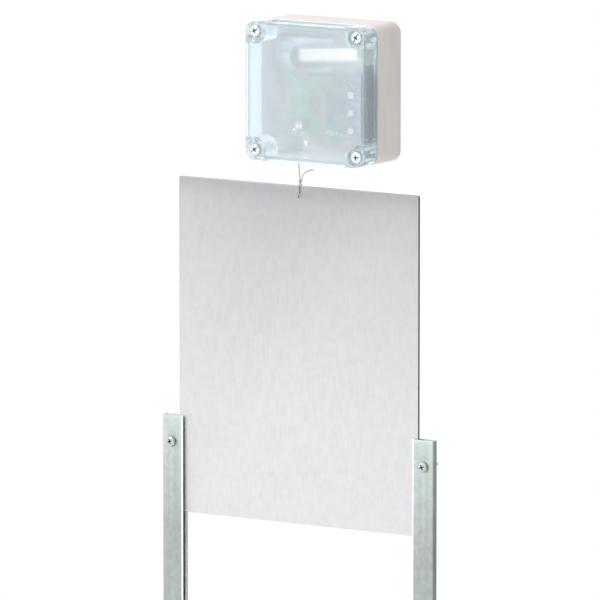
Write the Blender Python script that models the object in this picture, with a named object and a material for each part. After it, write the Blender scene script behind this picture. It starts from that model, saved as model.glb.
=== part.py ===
"""Automatic coop-door opener, in metres with +Z up.

A wall box with a clear lid holds a geared winch, its board and its batteries. The winch lifts a
sheet door on a thin cord, and the door runs in two U-section guide rails.
The origin is on the box's back face, level with the box's middle and on the door's centre line:
the wall is the plane Y = 0 and the front of everything faces -Y.
"""

import math

import bmesh
import bpy
from mathutils import Vector

MM = 0.001
GAP = 0.3 * MM  # clearance between pieces that touch on the real object

# Control box
BOX_X = 42.5 * MM  # middle of the box, to the right of the door's centre line
BOX_HALF = 61 * MM
CORNER_R = 10 * MM
BASE_FRONT = -37.2 * MM
BASE_WALL = 3.2 * MM
BASE_POST_R = 7 * MM
LID_BACK = BASE_FRONT - GAP
LID_FRONT = -60 * MM
LID_FLANGE = 4 * MM
LID_STEP = 1.5 * MM  # how far the lid's sides stand in from its flange
LID_RIM = 2.8 * MM  # depth of the full-size plate at the lid's front
LID_WALL = 2.5 * MM
LID_POST_R = 11.3 * MM
TOWER = 20 * MM  # width of a lid corner that stands out to the flange
POCKET_R = 7.4 * MM
POCKET_DEPTH = 3.5 * MM
LID_SCREW_X = 52.3 * MM
LID_SCREW_Z = 52 * MM
SCREW_HOLE_R = 2.1 * MM
SEAL_WIDTH = 1.4 * MM
SEAL_DEPTH = 1.3 * MM
WALL_HOLE_X = 36 * MM
WALL_HOLE_Z = 51 * MM
WALL_HOLE_R = 2.25 * MM

# Winch
CORD_D = 1.1 * MM
CORD_X = 1.5 * MM
CORD_Y = -7 * MM
DRUM_R = 9.45 * MM
SPOOL_FLANGE_R = 14 * MM
SPOOL_X = CORD_X + DRUM_R + CORD_D / 2
SPOOL_Z = 30 * MM
SPOOL_BACK = -4.6 * MM
SPOOL_FRONT = -15 * MM
SPOOL_BACK_FLANGE = 1.2 * MM
SPOOL_FRONT_FLANGE = 1 * MM
AXLE_R = 2 * MM
AXLE_BACK = -1.7 * MM
AXLE_FRONT = -24.3 * MM
MODULE = 0.8 * MM
SPOOL_TEETH = 36
PINION_TEETH = 12
GEAR_WIDTH = 4 * MM
GEAR_BACK = SPOOL_FRONT - GAP
PINION_X = SPOOL_X + MODULE * (SPOOL_TEETH + PINION_TEETH) / 2
BRACKET_BACK = -20.3 * MM
BRACKET_SHEET = 1.5 * MM
MOTOR_BACK = BRACKET_BACK - BRACKET_SHEET - GAP
GEARBOX_R = 12 * MM
GEARBOX_FRONT = -34 * MM
MOTOR_R = 11 * MM
MOTOR_FRONT = -46 * MM
MOTOR_CAP_R = 10.2 * MM
MOTOR_CAP_FRONT = -49 * MM
MOTOR_SHAFT_R = 1.5 * MM
MOTOR_SCREW_PITCH = 17 * MM

# Main board
BOARD_BACK = -19.5 * MM
BOARD_SHEET = 1.6 * MM
BOARD_FRONT = BOARD_BACK - BOARD_SHEET
BOARD_LEFT, BOARD_RIGHT = 4 * MM, 72 * MM
BOARD_BOTTOM, BOARD_TOP = -43 * MM, 11 * MM
BOARD_INSET = 4.5 * MM
STANDOFF_R = 3.2 * MM
PIN_R = 1.3 * MM
SMALL_HOLE_R = 1.7 * MM
TERMINAL_LEFT, TERMINAL_RIGHT = 43.3 * MM, 65.3 * MM
TERMINAL_BOTTOM, TERMINAL_TOP = -41.5 * MM, -33.5 * MM
TERMINAL_FRONT = -31 * MM
TERMINAL_PITCH = 5 * MM
TERMINAL_FIRST_X = 46.8 * MM
WIRE_Y = -27 * MM

# Battery holder, cells and control strip
CELL_R = 7.1 * MM
CELL_LENGTH = 50 * MM
CELL_PITCH = 14.6 * MM
CELL_COUNT = 3
HOLDER_WALL = 1.1 * MM
HOLDER_LEFT, HOLDER_RIGHT = 81.5 * MM, 97.4 * MM
HOLDER_BACK = -6 * MM
HOLDER_FRONT = HOLDER_BACK - CELL_COUNT * CELL_PITCH - 2 * HOLDER_WALL
HOLDER_BOTTOM, HOLDER_TOP = -37 * MM, 24 * MM
CELL_X = HOLDER_RIGHT - HOLDER_WALL - GAP - CELL_R
CELL_BOTTOM = -28.3 * MM
STRIP_LEFT, STRIP_RIGHT = 81.3 * MM, 97.9 * MM
STRIP_BOTTOM, STRIP_TOP = -36.7 * MM, 24 * MM
STRIP_BACK = HOLDER_FRONT - GAP
STRIP_FRONT = STRIP_BACK - BOARD_SHEET
SWITCH_HALF = 3.1 * MM
SWITCH_HEIGHT = 1.2 * MM
BUTTON_R = 2.75 * MM
BUTTON_X = 88 * MM
BUTTON_TOP_Z = 1.5 * MM
BUTTON_PITCH = 15.5 * MM
BUTTON_BASE = STRIP_FRONT - 0.5 * MM
BUTTON_FRONT = STRIP_FRONT - 2.4 * MM
LED_Z = 10.4 * MM

# Door, lift cord and guide rails
DOOR_HALF = 125 * MM
DOOR_BACK, DOOR_FRONT = -2.5 * MM, -5 * MM
DOOR_TOP, DOOR_BOTTOM = -89 * MM, -389 * MM
DOOR_MIDDLE = (DOOR_BACK + DOOR_FRONT) / 2
HOLE_R = 1.5 * MM
HOLE_Z = -98 * MM
EYELET_R = 3 * MM
EYELET_BOTTOM = -62.6 * MM
KNOT_Z = -85.3 * MM
KNOT_R = 1.4 * MM
RAIL_INNER, RAIL_OUTER = 120 * MM, 142 * MM
RAIL_FRONT = -7.5 * MM
RAIL_SHEET = 1.5 * MM
RAIL_TOP, RAIL_BOTTOM = -303 * MM, -703 * MM
RAIL_SCREW_X = 132 * MM
RAIL_SCREW_INSET = 23.5 * MM
RAIL_HOLE_R = 2.5 * MM
LEAD_D = 1.3 * MM


def material(name, colour, roughness, metallic=0.0, alpha=1.0):
    """A Principled material; alpha below 1 is clear plastic."""
    made = bpy.data.materials.new(name)
    made.use_nodes = True
    shader = made.node_tree.nodes["Principled BSDF"]
    shader.inputs["Base Color"].default_value = (*colour, 1.0)
    shader.inputs["Roughness"].default_value = roughness
    shader.inputs["Metallic"].default_value = metallic
    shader.inputs["Alpha"].default_value = alpha
    return made


def body(name, at):
    """An empty at a moving body's reference point; its pieces are parented to it."""
    empty = bpy.data.objects.new(name, None)
    empty.location = at
    bpy.context.scene.collection.objects.link(empty)
    return empty


def ring_points(centre, axis, radius, along, segments):
    """Points of a circle square to the axis."""
    x, y, z = centre
    points = []
    for i in range(segments):
        angle = 2 * math.pi * i / segments
        u, v = radius * math.cos(angle), radius * math.sin(angle)
        if axis == "Y":
            points.append((x + u, y + along, z + v))
        else:
            points.append((x + u, y + v, z + along))
    return points


def lathe(bm, centre, profile, axis="Y", segments=24, bored=False):
    """A turned body from (radius, distance along the axis) points.

    A solid one starts and ends at radius 0, and a bored one closes on itself.
    """
    rings = []
    for radius, along in profile:
        count = segments if radius > 0 else 1
        points = ring_points(centre, axis, radius, along, count)
        rings.append([bm.verts.new(p) for p in points])
    pairs = list(zip(rings, rings[1:]))
    if bored:
        pairs.append((rings[-1], rings[0]))
    for a, b in pairs:
        for i in range(segments):
            j = (i + 1) % segments
            if len(a) == 1:
                bm.faces.new((a[0], b[j], b[i]))
            elif len(b) == 1:
                bm.faces.new((a[i], a[j], b[0]))
            else:
                bm.faces.new((a[i], a[j], b[j], b[i]))


def cylinder(bm, centre, radius, start, end, axis="Y", segments=24):
    """A plain round bar between two distances along its axis from the centre."""
    lathe(bm, centre, [(0, start), (radius, start), (radius, end), (0, end)], axis, segments)


def prism(bm, outline, start, end, axis="Y"):
    """An outline drawn square to the axis and extruded along it."""

    def point(u, v, t):
        return (u, t, v) if axis == "Y" else (u, v, t)

    near = [bm.verts.new(point(u, v, start)) for u, v in outline]
    far = [bm.verts.new(point(u, v, end)) for u, v in outline]
    bm.faces.new(near)
    bm.faces.new(far)
    for i in range(len(outline)):
        j = (i + 1) % len(outline)
        bm.faces.new((near[i], near[j], far[j], far[i]))


def block(bm, x, y, z):
    """A rectangular block between pairs of limits."""
    corners = [(x[0], z[0]), (x[1], z[0]), (x[1], z[1]), (x[0], z[1])]
    prism(bm, corners, y[0], y[1])


def arc(centre, radius, first, last, steps):
    """Points of an arc, in degrees, with both ends."""
    points = []
    for i in range(steps + 1):
        angle = math.radians(first + (last - first) * i / steps)
        points.append((centre[0] + radius * math.cos(angle), centre[1] + radius * math.sin(angle)))
    return points


def mirrored_corners(corner):
    """Repeats the points of the box's upper right corner at its four corners, in order."""
    flipped = corner[::-1]
    quarters = [
        [(x, z) for x, z in corner],
        [(-x, z) for x, z in flipped],
        [(-x, -z) for x, z in corner],
        [(x, -z) for x, z in flipped],
    ]
    return [(BOX_X + x, z) for quarter in quarters for x, z in quarter]


def rounded_square(half, radius, steps=5):
    """The box's outline: a square with round corners."""
    middle = half - radius
    return mirrored_corners(arc((middle, middle), radius, 0, 90, steps))


def square_with_posts(half, radius, steps=6):
    """A hollow's outline: a square whose corners bulge inwards around the lid screws."""
    across, up = half - LID_SCREW_X, half - LID_SCREW_Z
    first = math.degrees(-math.acos(across / radius))
    last = -180 - math.degrees(math.asin(up / radius))
    return mirrored_corners(arc((LID_SCREW_X, LID_SCREW_Z), radius, first, last, steps))


def screw_places():
    """The four lid screws, as (x, z)."""
    places = []
    for side_z in (1, -1):
        for side_x in (-1, 1):
            places.append((BOX_X + side_x * LID_SCREW_X, side_z * LID_SCREW_Z))
    return places


def mesh_of(name, bm):
    """A mesh with its faces pointing out, smooth apart from its edges."""
    bmesh.ops.recalc_face_normals(bm, faces=bm.faces)
    mesh = bpy.data.meshes.new(name)
    bm.to_mesh(mesh)
    bm.free()
    mesh.shade_smooth()
    mesh.set_sharp_from_angle(angle=math.radians(35))
    return mesh


def changed(mesh, other, operation):
    """The mesh after a Boolean with another one."""
    target = bpy.data.objects.new("target", mesh)
    tool = bpy.data.objects.new("tool", mesh_of("tool", other))
    for helper in (target, tool):
        bpy.context.scene.collection.objects.link(helper)
    cut = target.modifiers.new("cut", "BOOLEAN")
    cut.operation = operation
    cut.object = tool
    graph = bpy.context.evaluated_depsgraph_get()
    result = bpy.data.meshes.new_from_object(target.evaluated_get(graph))
    for helper in (target, tool):
        bpy.data.objects.remove(helper)
    return result


def carved(mesh, cutter):
    """The mesh with the cutter's volume taken out."""
    return changed(mesh, cutter, "DIFFERENCE")


def joined(mesh, added):
    """The mesh grown by another body that it meets."""
    return changed(mesh, added, "UNION")


def piece(name, mesh, look, parent, at=(0, 0, 0)):
    """A named piece of a body; its mesh is drawn about the point at."""
    made = bpy.data.objects.new(name, mesh)
    made.parent = parent
    made.location = Vector(at) - parent.location
    made.data.materials.clear()
    made.data.materials.append(look)
    bpy.context.scene.collection.objects.link(made)
    return made


def from_world(name, mesh, look, parent):
    """A piece whose mesh is drawn in world coordinates."""
    for vertex in mesh.vertices:
        vertex.co -= parent.location
    return piece(name, mesh, look, parent, parent.location)


def smooth_route(points, spacing):
    """A Catmull-Rom curve through the route's points, in millimetres, read at even steps in metres."""
    knots = [Vector(p) * MM for p in points]
    knots = [2 * knots[0] - knots[1]] + knots + [2 * knots[-1] - knots[-2]]
    line = []
    fine = 24
    for a, b, c, d in zip(knots, knots[1:], knots[2:], knots[3:]):
        for i in range(fine):
            t = i / fine
            bend = 2 * a - 5 * b + 4 * c - d
            twist = 3 * b - a - 3 * c + d
            line.append((2 * b + (c - a) * t + bend * t * t + twist * t * t * t) / 2)
    line.append(knots[-2])
    total = sum((q - p).length for p, q in zip(line, line[1:]))
    steps = max(2, round(total / spacing))
    even, run, wanted = [line[0]], 0.0, total / steps
    for p, q in zip(line, line[1:]):
        run += (q - p).length
        if run >= wanted * len(even) and len(even) < steps:
            even.append(q)
    return even + [line[-1]]


def cord(name, route, diameter, look, parent, resolution=2):
    """A round cord along a route in world coordinates, with closed ends."""
    curve = bpy.data.curves.new(name, "CURVE")
    curve.dimensions = "3D"
    curve.bevel_depth = diameter / 2
    curve.bevel_resolution = resolution
    curve.use_fill_caps = True
    spline = curve.splines.new("POLY")
    spline.points.add(len(route) - 1)
    for point, place in zip(spline.points, route):
        point.co = (*(place - parent.location), 1.0)
    return piece(name, curve, look, parent, parent.location)


def cross_outline(long_arm, short_arm, half_width, turn):
    """A driver recess: a slot with a shorter slot across it, turned by an angle in degrees."""
    w = half_width
    corners = [
        (long_arm, -w), (long_arm, w), (w, w), (w, short_arm), (-w, short_arm), (-w, w),
        (-long_arm, w), (-long_arm, -w), (-w, -w), (-w, -short_arm), (w, -short_arm), (w, -w),
    ]
    c, s = math.cos(math.radians(turn)), math.sin(math.radians(turn))
    return [(u * c - v * s, u * s + v * c) for u, v in corners]


def plain_screw(head_r, head_h, shank_r, length, segments):
    """A pan-head screw's turned shape along Y, its head towards -Y and its bearing face at 0."""
    bm = bmesh.new()
    profile = [
        (0, -head_h),
        (head_r * 0.8, -head_h * 0.86),
        (head_r, -head_h * 0.4),
        (head_r, 0),
        (shank_r, 0),
        (shank_r, length - 2 * shank_r),
        (0, length),
    ]
    lathe(bm, (0, 0, 0), profile, segments=segments)
    return bm


def small_screw(name, head_r, head_h, shank_r, length):
    """A small machine screw with a plain head."""
    return mesh_of(name, plain_screw(head_r, head_h, shank_r, length, 10))


def screw_mesh(name, head_r, head_h, shank_r, length, slot_arm, turn):
    """A large screw with a driver recess in its head."""
    recess = bmesh.new()
    outline = cross_outline(slot_arm, head_r * 0.45, head_r * 0.1, turn)
    prism(recess, outline, -head_h * 1.5, -head_h * 0.45)
    return carved(mesh_of(name, plain_screw(head_r, head_h, shank_r, length, 18)), recess)


def gear_mesh(name, teeth, width, bore_r, turned_by):
    """A spur gear along -Y from 0, with straight-sided teeth and a plain bore."""
    pitch_r = MODULE * teeth / 2
    tip_r = pitch_r + 0.85 * MODULE
    root_r = pitch_r - 1.1 * MODULE
    pitch = 2 * math.pi / teeth
    outline = []
    for i in range(teeth):
        middle = pitch * i + turned_by
        for radius, offset in ((root_r, -0.29), (tip_r, -0.11), (tip_r, 0.11), (root_r, 0.29)):
            angle = middle + pitch * offset
            outline.append((radius * math.cos(angle), radius * math.sin(angle)))
    bm = bmesh.new()
    prism(bm, outline, 0, -width)
    bore = bmesh.new()
    cylinder(bore, (0, 0, 0), bore_r, -2 * width, width, segments=20)
    return carved(mesh_of(name, bm), bore)


def build_base(look, parent):
    """The opaque half of the box with its screw posts, standoffs and wall-fixing holes."""
    bm = bmesh.new()
    prism(bm, rounded_square(BOX_HALF, CORNER_R), 0, BASE_FRONT)
    hollow = bmesh.new()
    inner = BOX_HALF - BASE_WALL
    prism(hollow, square_with_posts(inner, BASE_POST_R), -BASE_WALL, BASE_FRONT - MM)
    mesh = carved(mesh_of("housing_base", bm), hollow)

    bosses = bmesh.new()
    root = -BASE_WALL / 2
    for x, z in standoff_places() + bracket_places():
        top = BRACKET_BACK + GAP if (x, z) in bracket_places() else BOARD_BACK + GAP
        cylinder(bosses, (x, 0, z), STANDOFF_R, root, top, segments=12)
    for low in (-30 * MM, 10 * MM):
        block(bosses, (84 * MM, 95 * MM), (root, HOLDER_BACK + GAP), (low, low + 6 * MM))
    mesh = joined(mesh, bosses)

    pins = bmesh.new()
    for x, z in standoff_places()[2:]:
        cylinder(pins, (x, 0, z), PIN_R, BOARD_BACK + 2 * MM, BOARD_FRONT - MM, segments=10)
    mesh = joined(mesh, pins)

    holes = bmesh.new()
    for x, z in screw_places():
        cylinder(holes, (x, 0, z), SCREW_HOLE_R, -22 * MM, BASE_FRONT - MM, segments=12)
    for x, z in standoff_places()[:2]:
        cylinder(holes, (x, 0, z), SMALL_HOLE_R, -11 * MM, BOARD_BACK - MM, segments=8)
    for x, z in bracket_places():
        cylinder(holes, (x, 0, z), SMALL_HOLE_R, -11 * MM, BRACKET_BACK - MM, segments=8)
    for side_x in (-1, 1):
        for side_z in (-1, 1):
            place = (BOX_X + side_x * WALL_HOLE_X, 0, side_z * WALL_HOLE_Z)
            cylinder(holes, place, WALL_HOLE_R, MM, -BASE_WALL - MM, segments=12)
    axle = (SPOOL_X, 0, SPOOL_Z)
    cylinder(holes, axle, AXLE_R + GAP, AXLE_BACK + GAP, -BASE_WALL - MM, segments=20)
    outlet = (CORD_X, CORD_Y, -BOX_HALF)
    cylinder(holes, outlet, EYELET_R + GAP, -MM, BASE_WALL + MM, axis="Z", segments=20)
    from_world("housing_base", carved(mesh, holes), look, parent)


def standoff_places():
    """The board's four standoffs: the first two take screws, the last two carry pins."""
    left, right = BOARD_LEFT + BOARD_INSET, BOARD_RIGHT - BOARD_INSET
    low, high = BOARD_BOTTOM + BOARD_INSET, BOARD_TOP - BOARD_INSET
    return [(right, high), (left, low), (left, high), (right, low)]


def bracket_places():
    """The three pillars that carry the winch bracket."""
    return [(-9.5 * MM, SPOOL_Z), (44 * MM, 39.5 * MM), (44 * MM, 20.5 * MM)]


def build_lid(look, parent):
    """The clear half of the box: flange, four screw towers and a flat front."""
    bm = bmesh.new()
    prism(bm, rounded_square(BOX_HALF, CORNER_R), LID_BACK, LID_FRONT)
    cutter = bmesh.new()
    depth = (LID_BACK - LID_FLANGE, LID_FRONT + LID_RIM)
    inner, outer = BOX_HALF - LID_STEP, BOX_HALF + MM
    reach = BOX_HALF - TOWER
    for side in (-1, 1):
        edges = sorted((side * inner, side * outer))
        block(cutter, (BOX_X + edges[0], BOX_X + edges[1]), depth, (-reach, reach))
        block(cutter, (BOX_X - reach, BOX_X + reach), depth, edges)
    hollow = BOX_HALF - LID_STEP - LID_WALL
    prism(cutter, square_with_posts(hollow, LID_POST_R), LID_BACK + MM, LID_FRONT + LID_WALL)
    floor = LID_FRONT + POCKET_DEPTH
    for x, z in screw_places():
        stepped = [
            (0, LID_BACK + MM),
            (SCREW_HOLE_R, LID_BACK + MM),
            (SCREW_HOLE_R, floor),
            (POCKET_R, floor),
            (POCKET_R, LID_FRONT - MM),
            (0, LID_FRONT - MM),
        ]
        lathe(cutter, (x, 0, z), stepped, segments=28)
    mesh = carved(mesh_of("lid", bm), cutter)
    from_world("lid", carved(mesh, seal_ring(GAP, LID_BACK + MM, GAP)), look, parent)


def seal_ring(grown, back, deeper):
    """The seal's ring, or its groove when grown by a clearance."""
    middle, corner = BOX_HALF - BASE_WALL / 2, CORNER_R - BASE_WALL / 2
    reach = SEAL_WIDTH / 2 + grown
    outer = rounded_square(middle + reach, corner + reach)
    inner = rounded_square(middle - reach, corner - reach)
    front = LID_BACK - SEAL_DEPTH - deeper
    bm = bmesh.new()
    rings = []
    for outline, y in ((outer, back), (outer, front), (inner, front), (inner, back)):
        rings.append([bm.verts.new((x, y, z)) for x, z in outline])
    for a, b in zip(rings, rings[1:] + rings[:1]):
        for i in range(len(a)):
            j = (i + 1) % len(a)
            bm.faces.new((a[i], a[j], b[j], b[i]))
    return bm


def build_lid_parts(looks, parent):
    """The lid's seal and its four screws."""
    from_world("lid_seal", mesh_of("lid_seal", seal_ring(0, LID_BACK, 0)), looks["rubber"], parent)
    seat = LID_FRONT + POCKET_DEPTH - GAP
    turns = (25, 60, 35, 10)
    for number, ((x, z), turn) in enumerate(zip(screw_places(), turns), 1):
        name = f"lid_screw_{number}"
        mesh = screw_mesh(name, 5.5 * MM, 3 * MM, 1.75 * MM, 33 * MM, 6 * MM, turn)
        piece(name, mesh, looks["screw"], parent, (x, seat, z))


def build_eyelet(look, parent):
    """The bush in the box's floor that the lift cord runs through."""
    bm = bmesh.new()
    bore_r, lip_r = 1.1 * MM, 4.4 * MM
    top = BASE_WALL + 1.4 * MM
    profile = [
        (bore_r, EYELET_BOTTOM + BOX_HALF),
        (lip_r, EYELET_BOTTOM + BOX_HALF),
        (lip_r, -GAP),
        (EYELET_R, -GAP),
        (EYELET_R, BASE_WALL + GAP),
        (EYELET_R + 0.6 * MM, BASE_WALL + GAP),
        (EYELET_R, top),
        (bore_r, top),
    ]
    lathe(bm, (0, 0, 0), profile, "Z", 14, bored=True)
    piece("cord_eyelet", mesh_of("cord_eyelet", bm), look, parent, (CORD_X, CORD_Y, -BOX_HALF))


def build_main_board(looks, parent):
    """The main board with the parts on it and its two screws."""
    bm = bmesh.new()
    block(bm, (BOARD_LEFT, BOARD_RIGHT), (BOARD_BACK, BOARD_FRONT), (BOARD_BOTTOM, BOARD_TOP))
    holes = bmesh.new()
    for x, z in standoff_places():
        cylinder(holes, (x, 0, z), SMALL_HOLE_R, BOARD_BACK + MM, BOARD_FRONT - MM, segments=12)
    from_world("main_board", carved(mesh_of("main_board", bm), holes), looks["board"], parent)

    foot = BOARD_FRONT - GAP
    chip = bmesh.new()
    block(chip, (22 * MM, 34 * MM), (foot, foot - 1.6 * MM), (-20 * MM, -8 * MM))
    from_world("microcontroller", mesh_of("microcontroller", chip), looks["chip"], parent)
    relay = bmesh.new()
    block(relay, (48 * MM, 63 * MM), (foot, foot - 11.5 * MM), (-20 * MM, -1 * MM))
    from_world("motor_driver", mesh_of("motor_driver", relay), looks["relay"], parent)

    can = bmesh.new()
    radius, height, rim = 5 * MM, 12 * MM, 0.6 * MM
    profile = [(0, 0), (radius, 0), (radius, rim - height), (radius - rim, -height), (0, -height)]
    lathe(can, (0, 0, 0), profile, segments=20)
    piece("capacitor", mesh_of("capacitor", can), looks["capacitor"], parent, (20 * MM, foot, -31 * MM))

    sensor = bmesh.new()
    profile = [(0, 0), (2.5 * MM, 0), (2.5 * MM, -2 * MM), (1.6 * MM, -2.6 * MM), (0, -2.8 * MM)]
    lathe(sensor, (0, 0, 0), profile, segments=16)
    piece("light_sensor", mesh_of("light_sensor", sensor), looks["sensor"], parent, (40 * MM, foot, 5 * MM))

    block_bm = bmesh.new()
    sides = (TERMINAL_LEFT, TERMINAL_RIGHT)
    block(block_bm, sides, (foot, TERMINAL_FRONT), (TERMINAL_BOTTOM, TERMINAL_TOP))
    wire_holes = bmesh.new()
    for i in range(4):
        place = (TERMINAL_FIRST_X + i * TERMINAL_PITCH, WIRE_Y, TERMINAL_BOTTOM)
        cylinder(wire_holes, place, 1.1 * MM, -MM, 4 * MM, axis="Z", segments=12)
    mesh = carved(mesh_of("terminal_block", block_bm), wire_holes)
    from_world("terminal_block", mesh, looks["terminal"], parent)

    for number, (x, z) in enumerate(standoff_places()[:2], 1):
        name = f"board_screw_{number}"
        mesh = small_screw(name, 2.8 * MM, 1.9 * MM, 1.3 * MM, 8 * MM)
        piece(name, mesh, looks["screw"], parent, (x, foot, z))


def build_winch_frame(looks, parent):
    """The bracket, gear motor, axle and their fasteners, all fixed to the base."""
    centre, shaft = (SPOOL_X, 0, SPOOL_Z), (PINION_X, 0, SPOOL_Z)
    back, front = BRACKET_BACK, BRACKET_BACK - BRACKET_SHEET
    bm = bmesh.new()
    block(bm, (-13.5 * MM, 48 * MM), (back, front), (15 * MM, 44 * MM))
    holes = bmesh.new()
    through = (back + MM, front - MM)
    cylinder(holes, centre, AXLE_R + GAP, *through, segments=16)
    cylinder(holes, shaft, 3 * MM, *through, segments=16)
    motor_screws = [(PINION_X, SPOOL_Z + side * MOTOR_SCREW_PITCH / 2) for side in (1, -1)]
    for x, z in bracket_places() + motor_screws:
        cylinder(holes, (x, 0, z), SMALL_HOLE_R, *through, segments=10)
    mesh = carved(mesh_of("motor_bracket", bm), holes)
    from_world("motor_bracket", mesh, looks["steel"], parent)
    for number, (x, z) in enumerate(bracket_places(), 1):
        name = f"bracket_screw_{number}"
        mesh = small_screw(name, 2.8 * MM, 1.9 * MM, 1.3 * MM, 8 * MM)
        piece(name, mesh, looks["screw"], parent, (x, front - GAP, z))

    gearbox = bmesh.new()
    cylinder(gearbox, shaft, GEARBOX_R, MOTOR_BACK, GEARBOX_FRONT, segments=32)
    bores = bmesh.new()
    cylinder(bores, shaft, MOTOR_SHAFT_R + GAP, MOTOR_BACK + MM, -31 * MM, segments=16)
    for x, z in motor_screws:
        cylinder(bores, (x, 0, z), 1.6 * MM, MOTOR_BACK + MM, MOTOR_BACK - 5 * MM, segments=12)
    from_world("gear_motor", carved(mesh_of("gear_motor", gearbox), bores), looks["steel"], parent)
    can = bmesh.new()
    cylinder(can, shaft, MOTOR_R, GEARBOX_FRONT - GAP, MOTOR_FRONT, segments=32)
    from_world("motor_can", mesh_of("motor_can", can), looks["motor"], parent)
    cap = bmesh.new()
    cylinder(cap, shaft, MOTOR_CAP_R, MOTOR_FRONT - GAP, MOTOR_CAP_FRONT, segments=24)
    from_world("motor_end_cap", mesh_of("motor_end_cap", cap), looks["terminal"], parent)

    for number, (x, z) in enumerate(motor_screws, 1):
        name = f"motor_screw_{number}"
        mesh = small_screw(name, 2.2 * MM, 1.3 * MM, 1.2 * MM, 5 * MM)
        made = piece(name, mesh, looks["screw"], parent, (x, back + GAP, z))
        made.rotation_euler.z = math.pi

    axle = bmesh.new()
    lathe(axle, (0, 0, 0), [
        (0, 0),
        (AXLE_R, 0),
        (AXLE_R, AXLE_FRONT - AXLE_BACK + 0.4 * MM),
        (AXLE_R - 0.4 * MM, AXLE_FRONT - AXLE_BACK),
        (0, AXLE_FRONT - AXLE_BACK),
    ], segments=20)
    piece("spool_axle", mesh_of("spool_axle", axle), looks["steel"], parent, (SPOOL_X, AXLE_BACK, SPOOL_Z))
    clip = bmesh.new()
    inner, outer, sheet = AXLE_R + GAP, 4.2 * MM, 0.8 * MM
    profile = [(inner, 0), (outer, 0), (outer, -sheet), (inner, -sheet)]
    lathe(clip, (0, 0, 0), profile, segments=20, bored=True)
    piece("axle_clip", mesh_of("axle_clip", clip), looks["screw"], parent, (SPOOL_X, front - GAP, SPOOL_Z))


def build_spool(looks, parent):
    """The cord drum, the gear fixed to it and the cord wound on it."""
    bore_r = AXLE_R + GAP
    bm = bmesh.new()
    length = SPOOL_FRONT - SPOOL_BACK
    back_face, front_face = -SPOOL_BACK_FLANGE, length + SPOOL_FRONT_FLANGE
    lathe(bm, (0, 0, 0), [
        (bore_r, 0),
        (SPOOL_FLANGE_R, 0),
        (SPOOL_FLANGE_R, back_face),
        (DRUM_R, back_face),
        (DRUM_R, front_face),
        (SPOOL_FLANGE_R, front_face),
        (SPOOL_FLANGE_R, length),
        (bore_r, length),
    ], segments=28, bored=True)
    at = (SPOOL_X, SPOOL_BACK, SPOOL_Z)
    piece("cord_spool", mesh_of("cord_spool", bm), looks["spool"], parent, at)

    mesh = gear_mesh("spool_gear", SPOOL_TEETH, GEAR_WIDTH, bore_r, 0)
    piece("spool_gear", mesh, looks["gear"], parent, (SPOOL_X, GEAR_BACK, SPOOL_Z))

    wound = bmesh.new()
    inner, outer = DRUM_R + GAP, DRUM_R + CORD_D
    start, end = back_face - GAP, back_face - GAP - 6 * CORD_D
    profile = [(inner, start), (outer, start), (outer, end), (inner, end)]
    lathe(wound, (0, 0, 0), profile, segments=28, bored=True)
    piece("cord_winding", mesh_of("cord_winding", wound), looks["cord"], parent, at)


def build_pinion(looks, parent):
    """The motor's small gear and the shaft it is fixed to."""
    half_tooth = math.pi / PINION_TEETH
    mesh = gear_mesh("drive_pinion", PINION_TEETH, GEAR_WIDTH, MOTOR_SHAFT_R + GAP, half_tooth)
    piece("drive_pinion", mesh, looks["gear"], parent, (PINION_X, GEAR_BACK, SPOOL_Z))
    bm = bmesh.new()
    cylinder(bm, (0, 0, 0), MOTOR_SHAFT_R, 0, -15 * MM, segments=16)
    at = (PINION_X, GEAR_BACK + 0.5 * MM, SPOOL_Z)
    piece("motor_shaft", mesh_of("motor_shaft", bm), looks["steel"], parent, at)


def cell_places():
    """The middles of the cells, from the back of the holder to its front, as y."""
    first = HOLDER_BACK - HOLDER_WALL - CELL_PITCH / 2
    return [first - i * CELL_PITCH for i in range(CELL_COUNT)]


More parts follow.
